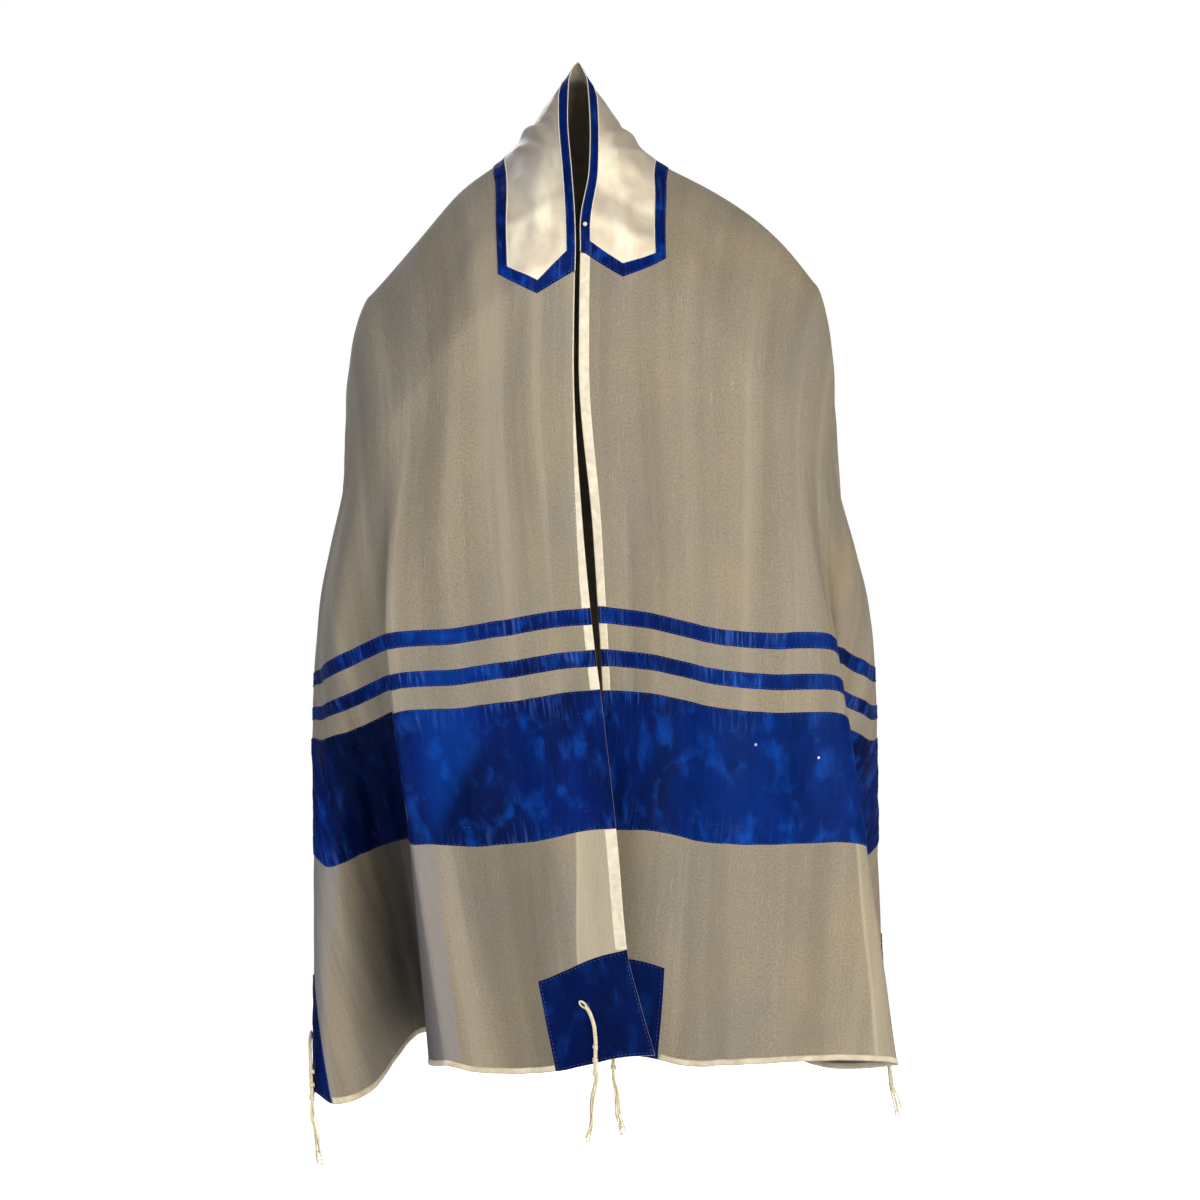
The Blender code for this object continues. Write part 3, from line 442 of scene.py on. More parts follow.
def foldHeight(side, along):
    # height of the deep folds over one side's net
    spec, start, turn = sideFolds, sideFolds["start"][side], turns[:, None]
    degrees = np.clip(turn - 1.0, 0.0, 1.0) * 90.0
    sway = spec["sway"] * np.sin(degrees / spec["swayPeriod"] + start)
    wave = np.sin(2.0 * np.pi * degrees / spec["period"] + start + sway)
    wave *= 1.0 - ease((degrees - spec["lastFrom"]) / spec["lastOver"])
    share = ease((degrees - spec["first"]) / (spec["full"] - spec["first"])) * (turn < 2.0)
    back = ease((turn - 2.0) / spec["backOver"])
    backWave = np.sin(2.0 * np.pi * sides[side] * along / spec["backPeriod"] + spec["backStart"])
    height = spec["height"] * share * wave + spec["backHeight"] * back * backWave
    return height * ease((netFalls - spec["topFall"]) / (spec["fullFall"] - spec["topFall"]))


ripples = {                     # waves over the flat measures: height, across, along, start
    "left": ((0.00045, 55.0, 9.0, 0.4), (0.00030, 118.0, 14.0, 2.1), (0.00022, 210.0, 21.0, 4.4)),
    "right": ((0.00050, 49.0, 8.0, 1.3), (0.00028, 131.0, 12.0, 5.2), (0.00022, 190.0, 24.0, 0.9)),
    "bend": 1.6, "slower": 0.6,
}


def ripple(side, along, across):
    # small unevenness of the hanging cloth
    total = np.zeros(along.shape)
    for size, fast, slow, start in ripples[side]:
        bend = ripples["bend"] * np.sin(along * slow + start)
        slowWave = np.cos(along * slow * ripples["slower"] + 2.0 * start)
        total += size * np.sin(across * fast + bend + start) * slowWave
    return total


class Drape:
    # the hanging cloth: net points and normals, and a look-up by flat measures

    def __init__(self):
        self.index, count = netIndex()
        self.along, self.across = flatOf()
        points = np.zeros((count, 3))
        for s, side in enumerate(sides):
            for c, turn in enumerate(turns):
                fall, line = fallLine(side, turn)
                points[self.index[s, c]] = pointsAt(shares * fall[-1], fall, line)
        self.quads = np.concatenate((gridFaces(self.index[0], True), gridFaces(self.index[1])))
        triangles = triangulate(self.quads)
        points = soften(points, triangles, self.ridgeWeight(count), cut["softRounds"])
        normals = pointNormals(points, triangles)
        self.points = points + normals * self.relief(count)[:, None]
        self.net = self.points[self.index]
        self.netNormals = pointNormals(self.points, triangles)[self.index]

    def ridgeWeight(self, count):
        weight = np.clip(1.0 - netFalls / cut["napeSoft"], 0.0, 1.0) ** 0.5
        found = np.zeros(count)
        for s in range(2):
            np.maximum.at(found, self.index[s].ravel(), weight.ravel())
        found[self.index[:, 0]] = 0.0
        return found

    def relief(self, count):
        total, quiet = np.zeros(count), np.clip(netFalls / cut["quiet"], 0.0, 1.0)
        for s, side in enumerate(sides):
            height = ripple(side, self.along, self.across) + foldHeight(side, self.along)
            for row in creaseRows(side):
                height = height + creaseHeight(self.along, self.across, *row)
            total[self.index[s].ravel()] = (height * quiet).ravel()
        return total

    def over(self, along, across, lift=0.0):
        # points at a height over the flat measures, and the outward normals there
        along, across = np.broadcast_arrays(np.asarray(along, float), np.asarray(across, float))
        side = np.where(along < 0.0, 0, 1)
        turn, fall = fallOf(abs(along), across)
        c = np.clip(np.interp(turn, turns, np.arange(columns)), 0.0, columns - 1.001)
        r = np.clip(fall / fullFall(turn) * (rows - 1), 0.0, rows - 1.001)
        c0, r0 = c.astype(int), r.astype(int)
        u, v = (c - c0)[..., None], (r - r0)[..., None]
        found = []
        for grid in (self.net, self.netNormals):
            upper = grid[side, c0, r0] * (1 - u) * (1 - v) + grid[side, c0 + 1, r0] * u * (1 - v)
            found.append(upper + grid[side, c0, r0 + 1] * (1 - u) * v
                         + grid[side, c0 + 1, r0 + 1] * u * v)
        normals = unit(found[1])
        return found[0] + normals * np.asarray(lift)[..., None], normals


drape = Drape()
print("cloth net:", len(drape.points), "points")


def meshPiece(name, points, faces, finish, uv=None, smooth=True):
    # uv holds across and along in metres for each point
    mesh = bpy.data.meshes.new(name)
    faceLists = [tuple(map(int, face)) for face in faces]
    mesh.from_pydata(np.asarray(points, float).tolist(), [], faceLists)
    mesh.materials.append(finish)
    if smooth:
        mesh.shade_smooth()
    if uv is not None:
        layer = mesh.uv_layers.new(name="cut")
        corners = np.zeros(len(mesh.loops), dtype=int)
        mesh.loops.foreach_get("vertex_index", corners)
        layer.data.foreach_set("uv", np.asarray(uv, dtype=np.float32)[corners].ravel())
    return addItem(name, mesh)


def clothPiece(name, along, across, lift, finish, wrap=False):
    # a sheet that lies on the cloth, from grids of flat measures and of its height over the cloth
    raised, normals = drape.over(along, across, lift)
    k = np.arange(along.size).reshape(along.shape)
    faces = gridFaces(np.vstack((k, k[:1])) if wrap else k)
    found, triangles = raised.reshape(-1, 3), triangulate(faces)
    if (facings(found, triangles) * normals.reshape(-1, 3)[triangles[:, 0]]).sum() < 0.0:
        faces = faces[:, ::-1]
    return meshPiece(name, found, faces, finish, np.stack((across.ravel(), along.ravel()), 1))


def tubeFaces(first, count, around):
    # the sides and both ends of a tube of rings
    k = first + np.arange(count * around).reshape(count, around)
    return gridFaces(np.hstack((k, k[:, :1]))).tolist() + [k[0][::-1], k[-1]]


def tubes(name, paths, finish, around=6):
    # closed tubes along (points, radii) pairs, joined as one mesh
    points, faces = [], []
    angle = 2.0 * np.pi * np.arange(around)[:, None] / around
    for path, radii in paths:
        path = np.asarray(path, float)
        way = unit(np.gradient(path, axis=0))
        across = np.cross(way[0], (0.0, 0.0, 1.0) if abs(way[0, 2]) < 0.9 else (1.0, 0.0, 0.0))
        faces += tubeFaces(len(points), len(path), around)
        for point, ahead, radius in zip(path, way, np.broadcast_to(radii, len(path))):
            across = unit(across - ahead * across.dot(ahead))
            beside = np.cross(ahead, across)
            points += list(point + radius * (np.cos(angle) * across + np.sin(angle) * beside))
    return meshPiece(name, points, faces, finish)


def stitches(name, lines, finish, length=0.0026, gap=0.0014, thick=0.00032):
    # rows of small hand-sized stitches; each line is (along, across, lift) in flat measures
    points, faces = [], []
    for line in lines:
        place, normals = drape.over(*line)
        lengths = lengthsOf(place)
        for start in np.arange(0.5 * gap, lengths[-1] - length, length + gap):
            steps = start + length * np.array((0.0, 0.5, 1.0))
            first, middle, last = pointsAt(steps, lengths, place)
            out = pointsAt(start, lengths, normals)
            beside, out, base = unit(np.cross(out, last - first)) * thick, out * thick, len(points)
            points += [first, middle + beside, middle + out, middle - beside, middle - out, last]
            for j in range(4):
                this, other = base + 1 + j, base + 1 + (j + 1) % 4
                faces += [(base, other, this), (base + 5, this, other)]
    return meshPiece(name, points, faces, finish)


class Nodes:
    # short hand for laying out a node tree; a value may be a number or another node's output
    def __init__(self, tree):
        self.tree = tree

    def put(self, value, socket):
        if hasattr(value, "is_linked"):
            self.tree.links.new(value, socket)
        else:
            socket.default_value = value

    def fill(self, node, **settings):
        for name, value in settings.items():
            if hasattr(node, name):
                setattr(node, name, value)
            else:
                self.put(value, node.inputs[name.replace("_", " ")])
        return node

    def add(self, kind, **settings):
        return self.fill(self.tree.nodes.new("ShaderNode" + kind), **settings)

    def use(self, tree, vector, **values):
        return self.add("Group", node_tree=tree, Vector=vector, **values).outputs

    def apply(self, kind, operation, *values, **settings):
        node = self.add(kind, operation=operation, **settings)
        for value, socket in zip(values, node.inputs):
            self.put(value, socket)
        return node.outputs[0]

    def math(self, operation, *values, clamp=False):
        return self.apply("Math", operation, *values, use_clamp=clamp)

    def vectors(self, operation, *values):
        return self.apply("VectorMath", operation, *values)

    def apart(self, vector):
        return self.add("SeparateXYZ", Vector=vector).outputs

    def noise(self, vector, scale, detail=2.0, rough=0.5, twist=0.0):
        return self.add("TexNoise", Vector=vector, Scale=scale, Detail=detail, Roughness=rough,
                        Distortion=twist).outputs["Fac"]

    def stretch(self, vector, across, along, turn=0.0, shift=(0.0, 0.0, 0.0), deep=1.0):
        return self.add("Mapping", Vector=vector, Location=shift, Scale=(across, along, deep),
                        Rotation=(0.0, 0.0, math.radians(turn))).outputs["Vector"]

    def remap(self, value, low, high, first=0.0, last=1.0):
        return self.add("MapRange", interpolation_type="SMOOTHSTEP", Value=value, From_Min=low,
                        From_Max=high, To_Min=first, To_Max=last).outputs["Result"]

    def blend(self, share, first, second):
        node = self.add("Mix", data_type="RGBA")
        for value, number in ((share, 0), (first, 6), (second, 7)):
            self.put(value, node.inputs[number])
        return node.outputs[2]

    def bump(self, height, strength, distance, **normal):
        return self.add("Bump", Height=height, Strength=strength, Distance=distance,
                        **normal).outputs["Normal"]

    def lineThrough(self, value, places):
        # straight lines between places, each a value and its result
        node = self.add("FloatCurve", Value=value)
        curve = node.mapping.curves[0]
        for _ in places[2:]:
            curve.points.new(0.5, 0.5)
        for point, where in zip(curve.points, places):
            point.location, point.handle_type = where, "VECTOR"
        node.mapping.update()
        return node.outputs["Value"]


def colour(red, green, blue):
    # a screen colour, 0 to 255, as the linear colour that a shader takes
    def straight(value):
        value /= 255.0
        return value / 12.92 if value <= 0.04045 else ((value + 0.055) / 1.055) ** 2.4
    return (straight(red), straight(green), straight(blue), 1.0)


def newGroup(name, inputs, outputs):
    tree = bpy.data.node_groups.new(name, "ShaderNodeTree")
    tree.interface.new_socket("Vector", in_out="INPUT", socket_type="NodeSocketVector")
    for label, value in inputs.items():
        socket = tree.interface.new_socket(label, in_out="INPUT", socket_type="NodeSocketFloat")
        socket.default_value = value
    for label in outputs:
        tree.interface.new_socket(label, in_out="OUTPUT", socket_type="NodeSocketFloat")
    given, out = tree.nodes.new("NodeGroupInput"), tree.nodes.new("NodeGroupOutput")
    return tree, Nodes(tree), given.outputs, out


def weaveGroup():
    # over and under of warp and weft, a little uneven; the vector is across and along in metres
    tree, nodes, given, out = newGroup("threadWeave", {"Threads": 1600.0, "Unevenness": 0.3},
                                       ("Height", "Gaps"))
    wobble = nodes.add("TexNoise", Vector=given["Vector"], Scale=220.0, Detail=2.0)
    amount = nodes.math("MULTIPLY", given["Unevenness"], 0.0022)
    both = nodes.add("CombineXYZ", X=amount, Y=amount).outputs[0]
    swayed = nodes.vectors("MULTIPLY_ADD", wobble.outputs["Color"], both, given["Vector"])
    pitch = nodes.math("MULTIPLY", given["Threads"], math.pi)
    warp, weft = (nodes.math("SINE", nodes.math("MULTIPLY", nodes.apart(swayed)[axis], pitch))
                  for axis in ("X", "Y"))
    over = nodes.math("MULTIPLY", warp, weft)
    gap = nodes.math("MULTIPLY", nodes.math("ABSOLUTE", warp), nodes.math("ABSOLUTE", weft))
    nodes.fill(out, Height=nodes.math("MULTIPLY_ADD", over, 0.5, 0.5),
               Gaps=nodes.remap(gap, 0.0, 0.5, 1.0, 0.0))
    return tree


def slubGroup():
    # thicker lengths of yarn, drawn out along the thread
    tree, nodes, given, out = newGroup(
        "slubYarn", {"Across": 700.0, "Along": 40.0, "Few": 0.60, "Shift": 0.0}, ("Mask",))
    factors = nodes.add("CombineXYZ", X=given["Across"], Y=given["Along"]).outputs[0]
    drawn = nodes.vectors("MULTIPLY", given["Vector"], factors)
    streak = nodes.noise(nodes.vectors("ADD", drawn, given["Shift"]), 1.0, 3.0, 0.6)
    least = nodes.math("SUBTRACT", streak, given["Few"])
    nodes.fill(out, Mask=nodes.math("MULTIPLY", least, 7.0, clamp=True))
    return tree


def cloudGroup():
    # broad uneven patches
    tree, nodes, given, out = newGroup("cloudPatches", {"Scale": 20.0, "Contrast": 2.0}, ("Mask",))
    patchy = nodes.noise(given["Vector"], given["Scale"], 3.0, 0.55, 0.4)
    away = nodes.math("SUBTRACT", patchy, 0.5)
    nodes.fill(out, Mask=nodes.math("MULTIPLY_ADD", away, given["Contrast"], 0.5, clamp=True))
    return tree


def toneGroup():
    # one where the vector's place across lies between two lines, with soft edges
    tree, nodes, given, out = newGroup(
        "toneBand", {"From": 0.0, "To": 1.0, "Soft": 0.002, "Side": 1.0, "Start": 0.0}, ("Mask",))
    across, along, _ = nodes.apart(given["Vector"])
    inner, outer = (nodes.remap(nodes.math("DIVIDE", nodes.math("SUBTRACT", high, low),
                                           given["Soft"]), -0.5, 0.5)
                    for high, low in ((across, given["From"]), (given["To"], across)))
    there = nodes.math("GREATER_THAN", nodes.math("MULTIPLY", along, given["Side"]), given["Start"])
    nodes.fill(out, Mask=nodes.math("MULTIPLY", nodes.math("MULTIPLY", inner, outer), there))
    return tree


weave, slubs, clouds, toneBand = weaveGroup(), slubGroup(), cloudGroup(), toneGroup()


def finishOf(name, space="UVMap"):
    # a bare material, and its vector: across and along in metres, or the place in space
    material = bpy.data.materials.new(name)
    material.use_nodes = True
    material.node_tree.nodes.clear()
    nodes = Nodes(material.node_tree)
    shader = nodes.add("BsdfPrincipled")
    nodes.add("OutputMaterial", Surface=shader.outputs[0])
    if space == "UVMap":
        return material, nodes, shader, nodes.add("UVMap", uv_map="cut").outputs["UV"]
    return material, nodes, shader, nodes.add("TexCoord").outputs["Object"]


def layTones(nodes, vector, tint, tones, palette):
    along = nodes.math("ABSOLUTE", nodes.apart(vector)["Y"])
    for tone, side, strength, soft, *outline in tones:
        first, last = (nodes.lineThrough(along, [(where[0], where[k]) for where in outline])
                       for k in (1, 2))
        band = nodes.use(toneBand, vector, From=first, To=last, Soft=soft, Side=sides[side],
                         Start=outline[0][0])["Mask"]
        tint = nodes.blend(nodes.math("MULTIPLY", band, strength), tint, palette[tone])
    return tint


# Tones are a second layer showing through, painted cool light on cloth that turns away, or painted
# shade over parts of the fronts and deep in folds: tone, side, strength, soft edge, then an outline
# on the flat cloth, each part of it along, across from and across to.
voile = {
    "ground": colour(135, 129, 118), "warm": colour(149, 137, 116), "violet": colour(130, 125, 122),
    "slub": colour(172, 165, 153), "dark": colour(100, 94, 84), "light": colour(164, 156, 142),
    "doubled": colour(182, 173, 154), "cool": colour(128, 126, 132), "shade": colour(58, 56, 50),
    "roughness": 0.82, "sheen": 0.10, "threads": 1500.0, "weaveDepth": 0.00016, "slubDepth": 0.0002,
    "yarns": (                  # strength, turn, then the slubs' own measures
        (0.42, 0.0, {"Across": 620.0, "Along": 34.0, "Few": 0.595}),
        (0.30, 0.0, {"Across": 1100.0, "Along": 90.0, "Few": 0.60, "Shift": 7.0}),
        (0.22, 90.0, {"Across": 900.0, "Along": 60.0, "Few": 0.63, "Shift": 3.0})),
    "tones": (
        ("doubled", "left", 0.56, 0.002, (0.785, 0.0, 0.041), (0.84, 0.0, 0.046),
         (0.9, 0.0, 0.052), (1.0, 0.0, 0.054)),
        ("doubled", "left", 0.3, 0.0014, (0.785, 0.0385, 0.041), (0.84, 0.0435, 0.046),
         (0.9, 0.0495, 0.052), (1.0, 0.0515, 0.054)),
        ("doubled", "right", 0.24, 0.004, (0.785, 0.2535, 0.3), (0.84, 0.258, 0.3),
         (0.89, 0.264, 0.305), (0.93, 0.269, 0.31), (1.0, 0.275, 0.33)),
        ("doubled", "right", 0.36, 0.0018, (0.785, 0.2535, 0.2565), (0.84, 0.258, 0.261),
         (0.89, 0.264, 0.267), (0.93, 0.269, 0.272), (1.0, 0.275, 0.278)),
        # painted cool light where the cloth turns away beside the left fold and at the far left
        # side
        ("cool", "left", 0.66, 0.0022, (0.785, 0.1674, 0.24), (0.84, 0.1706, 0.24),
         (0.89, 0.1734, 0.24), (0.957, 0.1771, 0.24), (1.0, 0.178, 0.24)),
        ("cool", "left", 0.62, 0.008, (0.785, 0.455, 0.72), (0.82, 0.482, 0.72),
         (0.88, 0.54, 0.72), (0.93, 0.578, 0.72), (1.0, 0.598, 0.72)),
        # painted shade: over the lower left front, deep in the left fold's recess, beside the right
        # front edge and inside the right side's fold
        ("shade", "left", 0.34, 0.03, (0.785, 0.07, 0.142), (1.0, 0.076, 0.142)),
        ("shade", "left", 0.92, 0.09, (0.785, 0.22, 0.39), (0.88, 0.22, 0.41), (1.0, 0.22, 0.43)),
        ("shade", "right", 0.2, 0.05, (0.785, 0.02, 0.075), (1.0, 0.025, 0.08)),
        ("shade", "right", 0.5, 0.04, (0.7, 0.3, 0.42), (0.785, 0.31, 0.42), (0.95, 0.36, 0.42))),
}


def makeVoile():
    material, nodes, shader, vector = finishOf("voileFinish")
    patches = nodes.use(clouds, vector, Scale=7.0, Contrast=2.6)["Mask"]
    tint = nodes.blend(patches, voile["warm"], voile["ground"])
    other = nodes.use(clouds, nodes.stretch(vector, 1.0, 0.6, shift=(3.0, 1.0, 0.0)),
                      Scale=16.0, Contrast=3.0)["Mask"]
    tint = nodes.blend(nodes.math("MULTIPLY", other, 0.55), tint, voile["violet"])
    grain = nodes.noise(nodes.stretch(vector, 620.0, 480.0), 1.0, 2.0)
    tint = nodes.blend(nodes.remap(grain, 0.35, 0.75, 0.0, 0.5), tint, voile["dark"])
    raised = 0.0
    for strength, turn, values in voile["yarns"]:
        yarn = nodes.use(slubs, nodes.stretch(vector, 1.0, 1.0, turn=turn), **values)["Mask"]
        tint = nodes.blend(nodes.math("MULTIPLY", yarn, strength), tint, voile["slub"])
        raised = nodes.math("ADD", yarn, raised)
    # painted shade and painted light: soft vertical folds drawn as broad dark and light streaks
    paintedFoldShading = nodes.noise(nodes.stretch(vector, 34.0, 1.3), 1.0, 3.0, 0.5, 0.1)
    tint = nodes.blend(nodes.remap(paintedFoldShading, 0.36, 0.52, 0.26, 0.0), tint, voile["dark"])
    tint = nodes.blend(nodes.remap(paintedFoldShading, 0.52, 0.68, 0.0, 0.30), tint, voile["light"])
    threads = nodes.use(weave, vector, Threads=voile["threads"], Unevenness=0.5)
    normal = nodes.bump(threads["Height"], 0.5, voile["weaveDepth"])
    normal = nodes.bump(raised, 0.6, voile["slubDepth"], Normal=normal)
    crumple = nodes.noise(nodes.stretch(vector, 70.0, 26.0), 1.0, 3.0, 0.55, 0.5)
    rough = voile["roughness"]
    nodes.fill(shader, Base_Color=layTones(nodes, vector, tint, voile["tones"], voile),
               Normal=nodes.bump(crumple, 0.35, 0.004, Normal=normal),
               Roughness=nodes.remap(threads["Gaps"], 0.0, 1.0, rough - 0.05, rough + 0.08),
               Sheen_Weight=voile["sheen"], Sheen_Roughness=0.45, Specular_IOR_Level=0.15)
    return material


blueSatin = {
    "gathers": (                # how much the painted glints on the gathers show, by the place along
        (0.0, 0.3), (0.56, 1.0), (0.645, 1.0), (0.66, 0.7), (0.676, 0.1), (0.762, 0.08),
        (0.784, 0.7), (0.8, 0.15), (1.0, 0.15)),
    "deep": colour(0, 9, 52), "shade": colour(0, 4, 30), "ground": colour(0, 28, 104),
    "light": colour(8, 68, 166), "glint": colour(62, 98, 190), "roughness": 0.50, "shine": 0.10,
    "shineTint": (0.35, 0.5, 1.0, 1.0), "brushed": 0.35,
    # painted shade in the recess left of the fold and inside the right side's fold; painted light
    # toward the right and a painted highlight beside the fold
    "tones": (
        ("shade", "left", 0.8, 0.09, (0.64, 0.2, 0.42), (0.785, 0.2, 0.42), (0.8, 0.2, 0.42)),
        ("light", "right", 0.1, 0.1, (0.56, 0.1, 0.3), (0.785, 0.08, 0.3), (0.8, 0.08, 0.3)),
        ("light", "left", 0.3, 0.024, (0.56, 0.118, 0.15), (0.7, 0.124, 0.162),
         (0.76, 0.158, 0.162)),
        ("shade", "right", 0.45, 0.03, (0.56, 0.29, 0.33), (0.785, 0.29, 0.345),
         (0.8, 0.29, 0.345))),
}


def makeBlueSatin(name, depth=0.0):
    # depth blends the paler tones toward the deep one
    material, nodes, shader, vector = finishOf(name)
    broad = nodes.use(clouds, nodes.stretch(vector, 1.0, 0.45), Scale=22.0, Contrast=2.2)["Mask"]
    tint = nodes.blend(broad, blueSatin["deep"], blueSatin["ground"])
    # lighter mottling: partly the crushed satin's own uneven tone, partly painted patchy highlights
    fine = nodes.use(clouds, nodes.stretch(vector, 1.0, 0.55, 24.0, (1.0, 2.0, 0.0)),
                     Scale=52.0, Contrast=1.9)["Mask"]
    light = nodes.math("MULTIPLY", nodes.remap(fine, 0.48, 1.0), 0.62)
    tint = nodes.blend(light, tint, blueSatin["light"])
    # painted glints: short light ticks in groups, where the seams gather the satin
    ticks = nodes.noise(nodes.stretch(vector, 330.0, 20.0), 1.0, 2.0)
    grouped = nodes.noise(nodes.stretch(vector, 13.0, 24.0, shift=(0.6, 0.0, 0.0)), 1.0, 1.0)
    gathers = nodes.math("MULTIPLY", nodes.remap(ticks, 0.50, 0.66),
                         nodes.remap(grouped, 0.48, 0.60, 0.08, 0.42))
    along = nodes.math("ABSOLUTE", nodes.apart(vector)["Y"])
    near = nodes.lineThrough(along, blueSatin["gathers"])
    tint = nodes.blend(nodes.math("MULTIPLY", gathers, near), tint, blueSatin["glint"])
    tint = layTones(nodes, vector, tint, blueSatin["tones"], blueSatin)
    soft = nodes.noise(nodes.stretch(vector, 26.0, 17.0), 1.0, 2.0, 0.5, 0.6)
    small = nodes.noise(nodes.stretch(vector, 150.0, 80.0, 18.0), 1.0, 3.0, 0.55, 0.8)
    normal = nodes.bump(small, 0.40, 0.0016, Normal=nodes.bump(soft, 0.45, 0.006))
    threads = nodes.use(weave, vector, Threads=1900.0, Unevenness=0.3)["Height"]
    rough = blueSatin["roughness"]
    nodes.fill(shader, Base_Color=nodes.blend(depth, tint, blueSatin["deep"]),
               Normal=nodes.bump(threads, 0.3, 0.00012, Normal=normal),
               Roughness=nodes.remap(fine, 0.0, 1.0, rough + 0.10, rough - 0.06),
               Specular_IOR_Level=blueSatin["shine"], Specular_Tint=blueSatin["shineTint"],
               Anisotropic=blueSatin["brushed"])
    return material


creamSatin = {
    "ground": colour(252, 245, 226), "shade": colour(206, 192, 174), "worn": colour(132, 120, 112),
    "roughness": 0.34, "slant": -0.40, "sheen": 0.2, "brushed": 0.5,
    # painted shade on the satin by the distance from the nape, less the slant: darker toward the
    # peak, in bands where its sheen falls away
    "left": (
        (0.0, 0.92), (0.055, 0.86), (0.09, 0.78), (0.125, 0.52), (0.15, 0.3), (0.163, 0.42),
        (0.174, 0.02), (0.19, 0.1), (0.215, 0.22), (1.0, 0.0)),
    "right": (
        (0.0, 0.92), (0.055, 0.82), (0.085, 0.7), (0.105, 0.3), (0.122, 0.02), (0.148, 0.04),
        (0.16, 0.46), (0.178, 0.52), (0.192, 0.1), (1.0, 0.0)),
}


def makeCreamSatin():
    material, nodes, shader, vector = finishOf("creamSatinFinish")
    # painted shade: high-contrast diagonal patches where the satin's sheen swings dark
    patches = nodes.use(clouds, nodes.stretch(vector, 1.0, 0.75, -28.0), Scale=21.0,
                        Contrast=4.0)["Mask"]
    tint = nodes.blend(nodes.math("MULTIPLY", patches, 0.85), creamSatin["ground"],
                       creamSatin["shade"])
    # painted shade: its share by the slant distance from the nape, for each side
    across, along, _ = nodes.apart(vector)
    slant = nodes.math("MULTIPLY_ADD", across, creamSatin["slant"], nodes.math("ABSOLUTE", along))
    left, right = (nodes.lineThrough(slant, creamSatin[side]) for side in sides)
    isRight = nodes.math("GREATER_THAN", along, 0.0)
    paintedShadeShare = nodes.math("MULTIPLY_ADD", nodes.math("SUBTRACT", right, left), isRight, left)
    soft = nodes.noise(nodes.stretch(vector, 24.0, 11.0, -24.0), 1.0, 1.0, 0.5, 0.6)
    threads = nodes.use(weave, vector, Threads=2200.0, Unevenness=0.2)["Height"]
    streak = nodes.use(slubs, vector, Across=900.0, Along=60.0, Few=0.5)["Mask"]
    rough = creamSatin["roughness"]
    nodes.fill(shader, Base_Color=nodes.blend(paintedShadeShare, tint, creamSatin["worn"]),
               Normal=nodes.bump(threads, 0.2, 0.0001, Normal=nodes.bump(soft, 0.80, 0.016)),
               Roughness=nodes.remap(streak, 0.0, 1.0, rough, rough + 0.1),
               Sheen_Weight=creamSatin["sheen"], Anisotropic=creamSatin["brushed"])
    return material


def makeWhiteTape(name, ground, shade, rough, threads):
    # woven tape and the rolled hem; they have their own flat measures too
    material, nodes, shader, vector = finishOf(name)
    patches = nodes.use(clouds, vector, Scale=90.0, Contrast=2.4)["Mask"]
    weft = nodes.use(weave, vector, Threads=threads, Unevenness=0.4)
    tint = nodes.blend(nodes.math("MULTIPLY", weft["Gaps"], 0.25),
                       nodes.blend(patches, ground, shade), shade)
    wavy = nodes.noise(nodes.stretch(vector, 60.0, 130.0), 1.0, 2.0)
    normal = nodes.bump(wavy, 0.4, 0.0012, Normal=nodes.bump(weft["Height"], 0.6, 0.0002))
    nodes.fill(shader, Base_Color=tint, Normal=normal, Sheen_Weight=0.15,
               Roughness=nodes.remap(patches, 0.0, 1.0, rough, rough + 0.12))
    return material


def makeThread(name, ground, shade, pitch, rough=0.7):
    # spun yarn: fine strands wound round it
    material, nodes, shader, vector = finishOf(name, "space")
    wound = nodes.stretch(vector, pitch, pitch, deep=pitch * 0.45)
    strands = nodes.noise(wound, 1.0, 3.0, 0.6, 0.3)
    nodes.fill(shader, Base_Color=nodes.blend(nodes.remap(strands, 0.35, 0.7), ground, shade),
               Normal=nodes.bump(strands, 0.7, 0.0004), Sheen_Weight=0.3,
               Roughness=nodes.remap(strands, 0.2, 0.8, rough, rough + 0.15))
    return material


def makeStone():
    material, nodes, shader, vector = finishOf("stoneFinish", "space")
    facet = nodes.noise(vector, 700.0, 1.0)
    tint = nodes.blend(nodes.remap(facet, 0.3, 0.7), colour(124, 134, 190), colour(206, 212, 240))
    nodes.fill(shader, Base_Color=tint, Roughness=nodes.remap(facet, 0.3, 0.7, 0.05, 0.18),
               Specular_IOR_Level=0.9)
    return material


finishes = {
    "voile": makeVoile(), "blueSatin": makeBlueSatin("blueSatinFinish"),
    "darkSatin": makeBlueSatin("patchSatinFinish", 0.58), "creamSatin": makeCreamSatin(),
    "tape": makeWhiteTape("whiteTapeFinish", colour(226, 219, 202), colour(196, 188, 172), 0.62,
                          1300.0),
    "hem": makeWhiteTape("hemFinish", colour(212, 203, 186), colour(176, 165, 145), 0.66, 1100.0),
    "thread": makeThread("tasselFinish", colour(234, 224, 198), colour(192, 180, 150), 1500.0),
    "whiteStitch": makeThread("whiteStitchFinish", colour(232, 226, 212), colour(204, 196, 178),
                              2600.0),
    "blueStitch": makeThread("blueStitchFinish", colour(18, 46, 128), colour(8, 24, 84), 2600.0),
    "piping": makeThread("pipingFinish", colour(238, 232, 218), colour(210, 202, 184), 2200.0, 0.5),
    "stone": makeStone(),
}
print("finishes:", len(finishes))


def cleanFaces(quads):
    # the net's quads, as triangles where the ridge closes them
    faces = ([k for n, k in enumerate(quad) if k not in quad[:n]] for quad in quads.tolist())
    return [face for face in faces if len(face) > 2]


def makeGroundCloth():
    flatUv = np.zeros((len(drape.points), 2))
    for s, sign in enumerate(sides.values()):
        flat = np.stack((drape.across, sign * drape.along), axis=-1)
        flatUv[drape.index[s].ravel()] = flat.reshape(-1, 2)
    faces = cleanFaces(drape.quads)
    return meshPiece("groundCloth", drape.points, faces, finishes["voile"], flatUv)


ground = makeGroundCloth()
print("ground cloth done")

